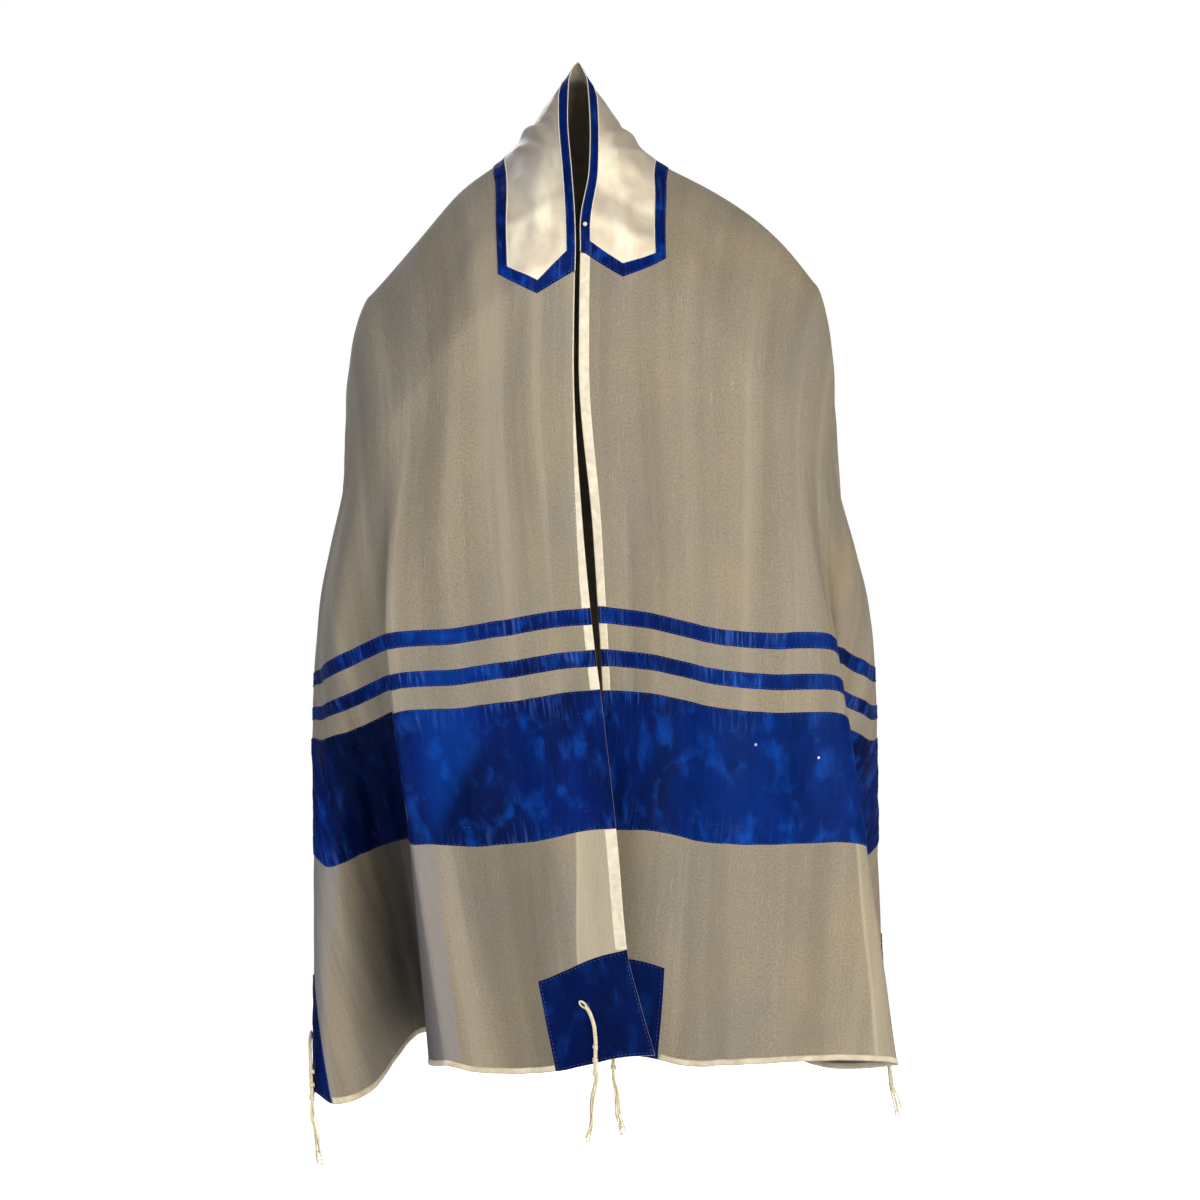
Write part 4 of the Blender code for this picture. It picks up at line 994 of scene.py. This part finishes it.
seam = {                        # how a sewn edge rises, is turned under and is gathered
    "rise": 0.0006, "turned": 0.0016, "gatherFrom": 0.0012, "gatherFade": 0.006,
    "first": 0.0022, "ends": (0.0, 0.0003, 0.0007, 0.0012),     # the closer steps at both ends
    "waves": ((1.0, 1.0, 1.7, 37.0, 1.0), (0.6, 0.43, 2.3, 71.0, 0.0)),
    "least": 0.00005,           # no piece lies lower over the cloth
}
bands = {
    "rows": (("narrowBandUpper", "narrow_band_upper", 0.574, 0.590),
             ("narrowBandLower", "narrow_band_lower", 0.614, 0.630),
             ("wideBand", "wide_band", 0.652, 0.785)),
    "lift": 0.00050, "fold": 0.00028, "edge": 0.00006, "pucker": 0.00022, "puckerPitch": 0.0115,
    "pitch": (0.0026, 0.0032, 0.0034),          # net steps: narrow, wide, and across both
    "ribbon": (0.023, 0.020),                   # strips along the top and bottom of the wide band
    "ribbonStep": 0.00035, "ribbonRise": 0.0007, "ribbonIn": 0.002, "ribbonSeed": 90.0,
    "ribbonQuiet": 0.4,                         # how much less a doubled strip gathers
    "wave": 0.00025, "waves": (210.0, 3.0, 60.0), "slowWave": (95.0, 30.0), "calm": 0.010,
    "seam": 0.0016, "ribbonSeam": 0.0014, "stitchLift": 0.00078, "stitchStep": 0.003,
    "stitchEnd": 0.002,
}


def seamProfile(inward, spec):
    # height of a sewn piece over the cloth, by the distance in from its nearest edge
    turned = spec["fold"] * (1.0 - ease((inward - seam["rise"]) / seam["turned"]))
    return spec["edge"] + (spec["lift"] - spec["edge"] + turned) * ease(inward / seam["rise"])


def puckers(across, inward, seed, spec):
    # the small gathers that a row of stitches draws up
    wave = 0.0
    for size, pitch, bend, rate, start in seam["waves"]:
        sway = bend * np.sin(across * rate + seed) + seed * start
        wave = wave + size * np.sin(2.0 * np.pi * across / (pitch * spec["puckerPitch"]) + sway)
    fade = np.exp(-inward / seam["gatherFade"]) * ease(inward / seam["gatherFrom"])
    return spec["pucker"] * wave * fade


def wavy(at, beside, rate, bend, besideRate, start=0.0):
    # waves at a rate, which a slower wave beside them bends
    return np.sin(at * rate + bend * np.sin(beside * besideRate + start))


def spread(start, end, pitch):
    # even steps with closer ones at both ends, for the turned edges
    first, near = seam["first"], np.array(seam["ends"])
    inner = np.linspace(start + first, end - first, max(2, int(round((end - start) / pitch))))
    return np.concatenate((start + near, inner, end - near[::-1]))


def ribbonEdges(start, end):
    # the inner edges of the strips on a wide band, and the way out of each
    wide = end - start > sum(bands["ribbon"])
    return ((start + bands["ribbon"][0], 1.0), (end - bands["ribbon"][1], -1.0)) if wide else ()


def makeBand(name, start, end, sign, seed):
    edges, trim = ribbonEdges(start, end), cut["trim"]
    alongs = spread(start + trim, end - trim, bands["pitch"][1 if edges else 0])
    acrosses = spread(trim, cut["width"] - trim, bands["pitch"][2])
    along, across = np.meshgrid(alongs, acrosses, indexing="ij")
    inward = np.minimum(along - alongs[0], alongs[-1] - along)
    ends = np.minimum(across - acrosses[0], acrosses[-1] - across)
    lift = np.minimum(seamProfile(inward, bands), seamProfile(ends, bands))
    lift += puckers(across, inward, seed, bands)
    for edge, way in edges:
        over = ease((edge - along) * way / bands["ribbonRise"])
        lift += bands["ribbonStep"] * over * ease(inward / bands["ribbonIn"])
        away = abs(along - edge) + seam["gatherFrom"]
        gathers = puckers(across, away, seed + edge * bands["ribbonSeed"], bands)
        lift += gathers * (1.0 - bands["ribbonQuiet"] * over)
    if edges:
        alongRate, acrossRate = bands["slowWave"]
        waves = wavy(across, along, *bands["waves"], seed)
        waves *= np.sin(along * alongRate + across * acrossRate)
        lift += bands["wave"] * (waves + 1.0) * ease(inward / bands["calm"])
    return clothPiece(name, sign * along, across, np.maximum(lift, seam["least"]),
                      finishes["blueSatin"])


bandPieces, blueLines = [], []
for side, sign in sides.items():
    for piece, node, start, end in bands["rows"]:
        item = makeBand(piece + side.capitalize(), start, end, sign, 1.0 + sign + start)
        bandPieces.append((item, node + "_" + side))
        steps = np.arange(bands["stitchEnd"], cut["width"] - bands["stitchEnd"],
                          bands["stitchStep"])
        seams = [start + bands["seam"], end - bands["seam"]]
        seams += [edge - way * bands["ribbonSeam"] for edge, way in ribbonEdges(start, end)]
        blueLines += [(sign * at, steps, bands["stitchLift"]) for at in seams]
print("bands done")

stones = {                      # two small ones on the wide band
    "places": ((0.6850, 0.164), (0.6985, 0.217)), "radius": 0.0015, "foot": 0.0009,
    "height": 0.0014, "facets": 8, "rings": ((1.0, 0.2, 0.0), (0.92, 0.55, 0.0), (0.55, 1.0, 0.5)),
}


def makeStones():
    points, faces, around = [], [], stones["facets"]
    for place in stones["places"]:
        centre, out = drape.over(*place)
        beside = unit(np.cross(out, (0.0, 0.0, 1.0)))
        above = np.cross(beside, out)
        *walls, _, top = tubeFaces(len(points), len(stones["rings"]), around)
        faces += walls + [top]
        for radius, height, turned in stones["rings"]:
            angle = 2.0 * np.pi * (np.arange(around)[:, None] + turned) / around
            reach = (np.cos(angle) * beside + np.sin(angle) * above) * stones["radius"] * radius
            points += list(centre + out * (stones["foot"] + stones["height"] * height) + reach)
    return meshPiece("bandStones", points, faces, finishes["stone"], smooth=False)


stonePiece = makeStones()

collar = {
    "satin": {                  # across and along of the three corners at each end
        "left": ((0.010, 0.2325), (0.041, 0.2590), (0.072, 0.2450)),
        "right": ((0.010, 0.2215), (0.041, 0.2410), (0.072, 0.2280))},
    "border": {
        "left": ((0.0002, 0.2520), (0.041, 0.2720), (0.082, 0.2540)),
        "right": ((0.0002, 0.2330), (0.041, 0.2550), (0.082, 0.2360))},
    "ringCounts": (250, 18, 18, 250, 18, 18), "satinRows": 260, "satinColumns": 16,
    "levels": (0.0, 0.04, 0.10, 0.25, 0.5, 0.75, 0.90, 0.96, 1.0),      # over the border's width
    "borderWidth": 0.010, "borderLift": 0.0003, "satinLift": 0.0003, "satinLeast": 0.00025,
    "lift": 0.00060, "fold": 0.00025, "edge": 0.00008, "pucker": 0.00016, "puckerPitch": 0.013,
    "piping": 0.00055, "pipingLift": 0.0009, "neckPiping": 0.00040, "neckLift": 0.0007,
    "bead": (0.205, 0.0045, 0.0022), "beadRadius": 0.0021, "neckSteps": 240, "beadSteps": 9,
    "wave": 0.00025, "waveLift": 0.00035, "waves": (120.0, 4.0, 60.0), "calm": 0.010,
    "foldCalm": 0.012, "satinRise": 0.002, "endRise": 0.9,
}
collarFolds = (                 # soft tucks across the satin, in the measures of the creases
    (50, 26, (-105, 12), (-75, 40), (-50, 70)), (42, -20, (-90, 12), (-62, 40), (-36, 70)),
    (40, 20, (-120, 20), (-98, 46), (-84, 70)), (30, 16, (-80, 20), (-78, 34), (-60, 58)),
    (30, -14, (-66, 16), (-56, 30), (-50, 50)), (60, 12, (-160, 16), (-140, 50), (-132, 71)),
    (100, 16, (-235, 30), (-190, 36), (-140, 46)), (80, -12, (-240, 52), (-190, 56), (-150, 60)),
    (50, 26, (98, 12), (72, 38), (50, 70)), (42, -20, (84, 12), (58, 40), (34, 70)),
    (40, 20, (112, 18), (94, 44), (82, 70)), (30, 16, (74, 18), (64, 34), (58, 56)),
    (60, -10, (150, 16), (136, 50), (128, 71)), (100, 16, (215, 34), (175, 40), (130, 50)),
    (80, -12, (212, 54), (170, 58), (140, 62)), (60, 10, (-22, 14), (-16, 40), (-14, 68)),
    (60, 10, (24, 14), (18, 40), (15, 68)))


def collarRing(part):
    # corners of the satin or the border, round from the neck edge at the left end
    left, right = ([(sign * along, across) for across, along in collar[part][side]]
                   for side, sign in sides.items())
    return np.array(left[:1] + right + left[:0:-1])


def roundRing(corners, counts):
    ways = np.roll(corners, -1, axis=0) - corners
    return np.concatenate([start + way * np.linspace(0.0, 1.0, count, endpoint=False)[:, None]
                           for start, way, count in zip(corners, ways, counts)])


def makeCollarSatin():
    # rows run from one end of the collar to the other, columns across it
    (first, _), (middle, _), (last, _) = collar["satin"]["left"]
    count = collar["satinColumns"]
    acrosses = np.concatenate((np.linspace(first, middle, count),
                               np.linspace(middle, last, count)[1:]))
    shares = np.linspace(0.0, 1.0, collar["satinRows"])[:, None]
    left, right = (np.interp(acrosses, *np.array(collar["satin"][side]).T) for side in sides)
    along = shares * (left + right) - left
    across = np.broadcast_to(acrosses, along.shape)
    inward = np.minimum(np.minimum(across - first, last - across),
                        np.minimum(along + left, right - along) * collar["endRise"])
    lift = collar["satinLift"] * (1.0 + ease(inward / collar["satinRise"]))
    for width, height, *path in collarFolds:
        bump = creaseHeight(along, across, width, height, np.array(path) / milli)
        lift = lift + bump * ease(inward / collar["foldCalm"])
    wave = collar["wave"] * wavy(along, across, *collar["waves"])
    lift += collar["waveLift"] + wave * ease(inward / collar["calm"])
    return clothPiece("collarSatin", along, across, np.maximum(lift, collar["satinLeast"]),
                      finishes["creamSatin"])


def borderRings():
    # the inner and the outer edge of the border, point by point
    return [roundRing(collarRing(part), collar["ringCounts"]) for part in ("satin", "border")]


def makeCollarBorder():
    inner, outer = borderRings()
    levels = np.array(collar["levels"])
    flat = inner[:, None, :] + (outer - inner)[:, None, :] * levels[None, :, None]
    along, across = flat[..., 0], flat[..., 1]
    inward = collar["borderWidth"] * np.minimum(levels, 1.0 - levels) + np.zeros(along.shape)
    lift = seamProfile(inward, collar) + puckers(along + across, inward, 0.7, collar)
    return clothPiece("collarBorder", along, across, lift + collar["borderLift"],
                      finishes["blueSatin"], wrap=True)


def ball(centre, way, half, radius, steps, least):
    # path and radii of a small round end, along way
    turn = np.linspace(0.0, math.pi, steps)
    path = centre - np.cos(turn)[:, None] * np.array(way) * half
    return path, np.maximum(np.sin(turn) * radius, least)


def makePiping():
    ring = borderRings()[0]
    satinEdge = drape.over(*np.concatenate((ring, ring[:1])).T, collar["pipingLift"])[0]
    start, end, *_ = collarRing("border")
    neck = start + (end - start) * np.linspace(0.0, 1.0, collar["neckSteps"])[:, None]
    neckEdge, radius = drape.over(*neck.T, collar["neckLift"])[0], collar["beadRadius"]
    bead = ball(drape.over(*collar["bead"])[0], (1.0, 0.0, 0.0), radius, radius,
                collar["beadSteps"], least=0.0002)
    paths = ((satinEdge, collar["piping"]), (neckEdge, collar["neckPiping"]), bead)
    return tubes("collarPiping", paths, finishes["piping"], 8)


collarSatin, collarBorder, collarPiping = makeCollarSatin(), makeCollarBorder(), makePiping()
print("collar done")

edging = {                      # white tapes down the front edges
    "width": 0.010, "lift": 0.00045, "fold": 0.00012, "edge": 0.00006, "pucker": 0.00012,
    "puckerPitch": 0.009, "step": 0.0035,
    "levels": (0.0, 0.05, 0.12, 0.3, 0.5, 0.7, 0.88, 0.95, 1.0),        # over the tape's width
    "rows": (("tapeNeck", "edging_neck", None, 0.574),
             ("tapeBetweenBands", "edging_between_bands", 0.590, 0.614),
             ("tapeAboveWideBand", "edging_above_wide_band", 0.630, 0.652),
             ("tapeBelowWideBand", "edging_below_wide_band", 0.785, 0.8982)),
    "neckStart": {"left": 0.2540, "right": 0.2350},
    "widthAt": {
        "left": ((0.25, 0.0016), (0.38, 0.0022), (0.46, 0.0060), (0.55, 0.0095), (0.60, 0.0100),
                 (0.70, 0.0120), (0.785, 0.0125), (1.00, 0.0130)),
        "right": ((0.20, 0.0095), (0.60, 0.0100))},
    "stitchFrom": 0.46, "stitchAcross": 0.0078, "stitchLift": 0.0006, "stitchStep": 0.003,
}


def widthOf(side, alongs):
    return np.interp(alongs, *np.array(edging["widthAt"][side]).T)


def makeTape(name, side, start, end):
    sign, levels, trim = sides[side], np.array(edging["levels"]), cut["trim"]
    steps = max(6, int((end - start) / edging["step"]))
    alongs = np.linspace(start + trim, end - trim, steps)
    width = widthOf(side, alongs)[:, None]
    along = np.broadcast_to(alongs[:, None], (steps, len(levels)))
    across = trim + (width - 2.0 * trim) * levels
    inward = np.minimum(across - trim, width - trim - across)
    lift = seamProfile(inward, edging) + puckers(along, inward, 2.0 + sign, edging)
    return clothPiece(name, sign * along, across, np.maximum(lift, seam["least"]), finishes["tape"])


tapePieces, whiteLines = [], []
for side, sign in sides.items():
    for piece, node, start, end in edging["rows"]:
        start = start or edging["neckStart"][side]
        item = makeTape(piece + side.capitalize(), side, start, end)
        tapePieces.append((item, node + "_" + side, side, start, end))
        steps = np.arange(max(start, edging["stitchFrom"]) + 0.001, end, edging["stitchStep"])
        whiteLines.append((sign * steps, edging["stitchAcross"], edging["stitchLift"]))
print("tapes done")

patches = {                     # one at each corner
    "size": 0.095, "lift": 0.00055, "fold": 0.00035, "edge": 0.00008, "pucker": 0.00018,
    "puckerPitch": 0.011, "pitch": 0.0028, "seam": 0.0022, "stitchLift": 0.00092, "least": 0.00006,
    "skew": ((0.0, -0.0066), (0.095, 0.0088), (0.19, 0.0)),     # the front ones' top, by across
    "eyelet": {"front": (0.946, 0.053), "side": (0.953, 0.653)}, "eyeletRadius": 0.0030,
    "eyeletThread": 0.0007, "eyeletLift": 0.0008, "dent": 0.0003, "dentReach": 0.006,
    "eyeletSteps": 25, "seamSteps": 30, "wave": 0.0003, "waves": (150.0, 3.0, 90.0), "calm": 0.012,
}


def patchFlat(place, u, v):
    # flat measures in a patch; u runs across it and v down it, both 0 to 1
    inner, trim = cut["width"] - patches["size"], cut["trim"]
    first, last = (trim, patches["size"]) if place == "front" else (inner, cut["width"] - trim)
    across = first + (last - first) * u
    top = cut["halfLength"] - patches["size"]
    if place == "front":
        top = top + np.interp(across, *np.array(patches["skew"]).T)
    return top + (cut["halfLength"] - 2.0 * trim - top) * v, across


def makePatch(name, place, sign):
    even = spread(0.0, patches["size"], patches["pitch"]) / patches["size"]
    u, v = np.meshgrid(even, even, indexing="ij")
    along, across = patchFlat(place, u, v)
    inward = patches["size"] * np.minimum(np.minimum(u, 1.0 - u), np.minimum(v, 1.0 - v))
    lift = seamProfile(inward, patches) + puckers(along + across, inward, 3.0 + sign, patches)
    eyeletAlong, eyeletAcross = patches["eyelet"][place]
    away = np.hypot(along - eyeletAlong, across - eyeletAcross)
    lift -= patches["dent"] * np.exp(-(away / patches["dentReach"]) ** 2)
    wave = wavy(along, across, *patches["waves"], sign)
    lift += patches["wave"] * (1.0 + wave) * ease(inward / patches["calm"])
    return clothPiece(name, sign * along, across, np.maximum(lift, patches["least"]),
                      finishes["darkSatin"])


patchPieces, eyelets = [], []
near = patches["seam"] / patches["size"]
far = 1.0 - near
seamCorners = np.array(((near, near), (far, near), (far, far), (near, far)))
seamRing = roundRing(seamCorners, (patches["seamSteps"],) * 4)
for side, sign in sides.items():
    for place in ("front", "side"):
        item = makePatch("patch" + place.capitalize() + side.capitalize(), place, sign)
        patchPieces.append((item, f"patch_{place}_{side}"))
        along, across = patchFlat(place, *np.concatenate((seamRing, seamRing[:1])).T)
        blueLines.append((sign * along, across, patches["stitchLift"]))
        turn = np.linspace(0.0, 2.0 * math.pi, patches["eyeletSteps"])
        along = patches["eyelet"][place][0] + patches["eyeletRadius"] * np.cos(turn)
        across = patches["eyelet"][place][1] + patches["eyeletRadius"] * np.sin(turn)
        eyelets.append((drape.over(sign * along, across, patches["eyeletLift"])[0],
                        patches["eyeletThread"]))
eyeletPiece = tubes("eyelets", eyelets, finishes["blueStitch"], 8)
print("patches done")

hems = {                        # rolled hems, where no band or patch covers the edge
    "height": 0.0056, "radius": 0.00100, "shortFrom": 0.0955, "shortTo": 0.6045, "longTo": 0.9045,
    "step": 0.0028, "longStep": 0.003, "around": 10, "clear": 0.0003,
    "waves": ((0.10, 310.0), (0.06, 790.0)),    # size and rate of the uneven thickness
}


def rolledHem(name, along, across, inwardAlong, inwardAcross):
    # a flattened roll over the very edge of the cloth; it leans in by the hem's height
    turn = 2.0 * np.pi * np.arange(hems["around"]) / hems["around"]
    reach = 0.5 * hems["height"] * (1.0 - np.cos(turn))
    lift = hems["radius"] * np.sin(turn) * (1.0 + 0.25 * np.cos(turn))
    along, across = np.broadcast_arrays(along, across)
    place = (along + across)[:, None]
    uneven = 1.0 + sum(size * np.sin(place * rate) for size, rate in hems["waves"])
    a, b = along[:, None] + inwardAlong * reach, across[:, None] + inwardAcross * reach
    points = drape.over(a, b, lift * uneven)[0]
    uv = np.stack(((b + lift).ravel(), a.ravel()), axis=1)
    faces = tubeFaces(0, len(a), hems["around"])
    return meshPiece(name, points.reshape(-1, 3), faces, finishes["hem"], uv)


hemPieces = []
shortAcross = np.arange(hems["shortFrom"], hems["shortTo"], hems["step"])
for side, sign in sides.items():
    edge = sign * (cut["halfLength"] - cut["trim"])
    hemPieces.append(rolledHem("hemShort" + side.capitalize(), edge, shortAcross, -sign, 0.0))
stops = [hems["longTo"]] + [value for _, _, *band in bands["rows"] for value in band]
stops = sorted(stops + [-value for value in stops])
for number, (start, end) in enumerate(zip(stops[::2], stops[1::2])):
    along = np.linspace(start + hems["clear"], end - hems["clear"],
                        max(8, int((end - start) / hems["longStep"])))
    edge = cut["width"] - cut["trim"]
    hemPieces.append(rolledHem(f"hemLong{number}", along, edge, 0.0, -1.0))
print("hems done:", len(hemPieces))

tassels = {
    "bundle": 0.066, "radius": 0.0012, "clear": 0.0034, "bow": -0.0052, "lean": 0.0030,
    "twist": 520.0, "yarn": 0.00076, "wobble": 0.1, "step": 0.0011, "loop": (0.0021, 0.0045),
    "knots": ((0.001, 1.0), (0.0135, 0.88), (0.0260, 0.76)), "knot": (0.0024, 0.0024, 0.0022),
    "overSteps": 24, "downSteps": 14, "bowPower": 0.7, "wobbleRate": 900.0,
    "knotSteps": 60, "knotTurns": 2.5, "knotRise": 0.9, "knotYarn": 0.9,
    "loopSteps": 41, "loopBack": 0.6, "loops": ((-0.0006, 1.0), (0.0004, 0.86)),    # lift, size
    "strands": 8, "strandLength": 0.062, "ply": (0.00036, 0.00042, 1500.0), "strandSteps": 34,
    "shorter": 0.06, "reach": (0.0008, 0.0016, 0.0009, 5.0), "curl": (0.9, 3.2),
    "driftPower": 1.4, "driftWave": (0.0008, 9.0), "endKnot": (0.0013, 0.0012, 7, 0.0001),
    "drift": {("left", "front"): -0.007, ("right", "front"): 0.008, ("left", "side"): 0.008,
              ("right", "side"): 0.010},
}


def hangingLine(side, place):
    # from the eyelet over the patch and then straight down below the hem
    alongHole, acrossHole = patches["eyelet"][place]
    share = np.linspace(0.0, 1.0, tassels["overSteps"])
    levels = np.linspace(alongHole, cut["halfLength"], tassels["overSteps"])
    bow = tassels["bow"] * np.sin(math.pi * share ** tassels["bowPower"]) + tassels["lean"] * share
    points, normals = drape.over(sides[side] * levels, acrossHole + bow, tassels["clear"])
    used = np.linalg.norm(np.diff(points, axis=0), axis=1).sum()
    steps = np.linspace(0.0, tassels["bundle"] - used, tassels["downSteps"])[1:]
    below = points[-1] - np.array((0.0, 0.0, 1.0)) * steps[:, None]
    return np.concatenate((points, below)), normals[0]


def twisted(path, radius, yarn, turns, phase, wobble=0.0):
    # one yarn wound round a path
    lengths = lengthsOf(path)
    fine = np.linspace(0.0, lengths[-1], max(8, int(lengths[-1] / tassels["step"])))
    centre = pointsAt(fine, lengths, path)
    ahead = pointsAt(fine, lengths, unit(np.gradient(path, axis=0)))
    beside = unit(np.cross(ahead, (0.0, 1.0, 0.0)))
    angle = (turns * fine + phase)[:, None]
    size = (radius * (1.0 + wobble * np.sin(fine * tassels["wobbleRate"] + phase)))[:, None]
    return centre + size * (np.cos(angle) * beside + np.sin(angle) * np.cross(beside, ahead)), yarn


def strandYarns(below, number, seed, drift):
    # one loose strand of two plies, with a small knot at its end
    share = np.linspace(0.0, 1.0, tassels["strandSteps"])
    length = tassels["strandLength"] * (1.0 - tassels["shorter"] * ((number * 3) % 4))
    near, more, waves, rate = tassels["reach"]
    reach = near + more * share + waves * np.sin(rate * share + 2.0 * number + seed)
    start = 2.0 * math.pi * number / tassels["strands"] + seed
    curl, curlRate = tassels["curl"]
    curl = start + curl * np.sin(curlRate * share + number) * share
    sway, swayRate = tassels["driftWave"]
    drift = drift * share ** tassels["driftPower"] + sway * np.sin(swayRate * share + seed)
    x, y = np.cos(curl) * reach + drift, np.sin(curl) * reach
    strand = below + np.stack((x, y, -share * length), axis=1)
    plies = [twisted(strand, *tassels["ply"], math.pi * ply + number) for ply in range(2)]
    return plies + [ball(strand[-1], (0.0, 0.0, -1.0), *tassels["endKnot"])]


def makeTassel(name, side, place, seed):
    (path, out), yarn = hangingLine(side, place), tassels["yarn"]
    yarns = [twisted(path, tassels["radius"], yarn, tassels["twist"], 0.5 * math.pi * k,
                     tassels["wobble"]) for k in range(4)]
    below = path[-1]
    turn = np.linspace(0.0, 2.0 * tassels["knotTurns"] * math.pi, tassels["knotSteps"])
    rise = np.linspace(-tassels["knotRise"], tassels["knotRise"], tassels["knotSteps"])
    ring = np.stack((np.cos(turn), np.sin(turn), rise), axis=1)
    for height, share in tassels["knots"]:      # wound knots at the foot of the bundle
        size = np.array(tassels["knot"]) * share
        wound = below + np.array((0.0, 0.0, height)) + ring * size
        yarns.append((wound, yarn * tassels["knotYarn"]))
    way, (wide, tall) = unit(path[1] - path[0]), tassels["loop"]
    beside = np.cross(way, out)
    turn = np.linspace(0.0, 2.0 * math.pi, tassels["loopSteps"])[:, None]
    for lift, size in tassels["loops"]:         # round the eyelet
        loop = np.sin(turn) * beside * wide * size - np.cos(turn) * way * tall * size
        yarns.append((path[0] - way * tall * tassels["loopBack"] + out * lift + loop, yarn))
    for number in range(tassels["strands"]):
        yarns += strandYarns(below, number, seed, tassels["drift"][side, place])
    return tubes(name, yarns, finishes["thread"])


tasselPieces = []
for side in sides:
    for place in ("front", "side"):
        name = "tassel" + place.capitalize() + side.capitalize()
        item = makeTassel(name, side, place, 0.6 + 1.7 * len(tasselPieces))
        tasselPieces.append((item, f"tassel_{place}_{side}"))
print("tassels done")

blueStitches = stitches("blueStitches", blueLines, finishes["blueStitch"])
inner, outer = borderRings()
collarLines = [(*(inner + (outer - inner) * share).T, 0.0011) for share in (0.12, 0.88)]
collarStitches = stitches("collarStitches", collarLines, finishes["blueStitch"])
tapeStitches = stitches("tapeStitches", whiteLines, finishes["whiteStitch"],
                        length=0.0022, gap=0.0016, thick=0.00026)
print("stitches done")

studio = {
    "floor": -1.300, "floorSize": 6.0, "floorGlow": 0.80, "world": 0.20,
    "worldColour": (0.98, 0.99, 1.0, 1.0), "white": (1.0, 1.0, 1.0, 1.0), "aim": (0.0, 0.0, -0.5),
    "lights": {                 # place, size, power, colour
        "key": ((1.70, -2.75, 0.10), 2.6, 119.0, (1.0, 0.92, 0.76)),
        "fill": ((-1.8, -2.4, 0.35), 2.2, 34.0, (0.92, 0.95, 1.0)),
        "back": ((-0.9, 2.6, 0.9), 2.0, 55.0, (0.92, 0.95, 1.0))},
}


def makeLight(name, place, size, power, tint):
    data = bpy.data.lights.new(name, "AREA")
    data.energy, data.size, data.color = power, size, tint
    item = addItem(name, data)
    item.location = place
    aim = Vector(studio["aim"]) - Vector(place)
    item.rotation_euler = aim.to_track_quat("-Z", "Y").to_euler()


def makeWorld():
    world = bpy.data.worlds.new("studio")
    world.use_nodes = True
    world.node_tree.nodes.clear()
    nodes = Nodes(world.node_tree)
    lighting = nodes.add("Background", Color=studio["worldColour"], Strength=studio["world"])
    seen = nodes.add("Background", Color=studio["white"], Strength=1.0)
    pick = nodes.add("MixShader")
    parts = nodes.add("LightPath").outputs["Is Camera Ray"], lighting.outputs[0], seen.outputs[0]
    for part, socket in zip(parts, pick.inputs):
        nodes.put(part, socket)
    nodes.add("OutputWorld", Surface=pick.outputs[0])
    scene.world = world


def makeFloor():
    material, nodes, shader, vector = finishOf("floorFinish", "space")
    soft = nodes.noise(vector, 3.0, 2.0)
    seen = nodes.add("LightPath").outputs["Is Camera Ray"]
    nodes.fill(shader, Base_Color=nodes.blend(soft, colour(250, 250, 250), colour(244, 244, 243)),
               Roughness=0.9, Emission_Color=studio["white"],
               Emission_Strength=nodes.math("MULTIPLY", seen, studio["floorGlow"]))
    half, level = 0.5 * studio["floorSize"], studio["floor"]
    corners = (-half, -half), (half, -half), (half, half), (-half, half)
    points = [(*corner, level) for corner in corners]
    return meshPiece("floor", points, [(0, 1, 2, 3)], material, smooth=False)


for name, light in studio["lights"].items():
    makeLight(name, *light)
makeWorld()
makeFloor()
scene.view_settings.view_transform = "Standard"
print("studio done")

# what each piece stands for
loose = hemPieces + [stonePiece, collarPiping, eyeletPiece,
                     blueStitches, collarStitches, tapeStitches]
named = bandPieces + tapePieces + patchPieces + tasselPieces + [
    (ground, "shawl"), (collarSatin, "collar_satin"), (collarBorder, "collar_border")]
for item, node, *_ in named:
    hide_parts(node)
for item in [item for item, *_ in named] + loose:
    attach(item, "root")

for item, _, side, start, end in tapePieces:
    wide = float(widthOf(side, np.linspace(start, end, 200)).mean()) - 2.0 * cut["trim"]
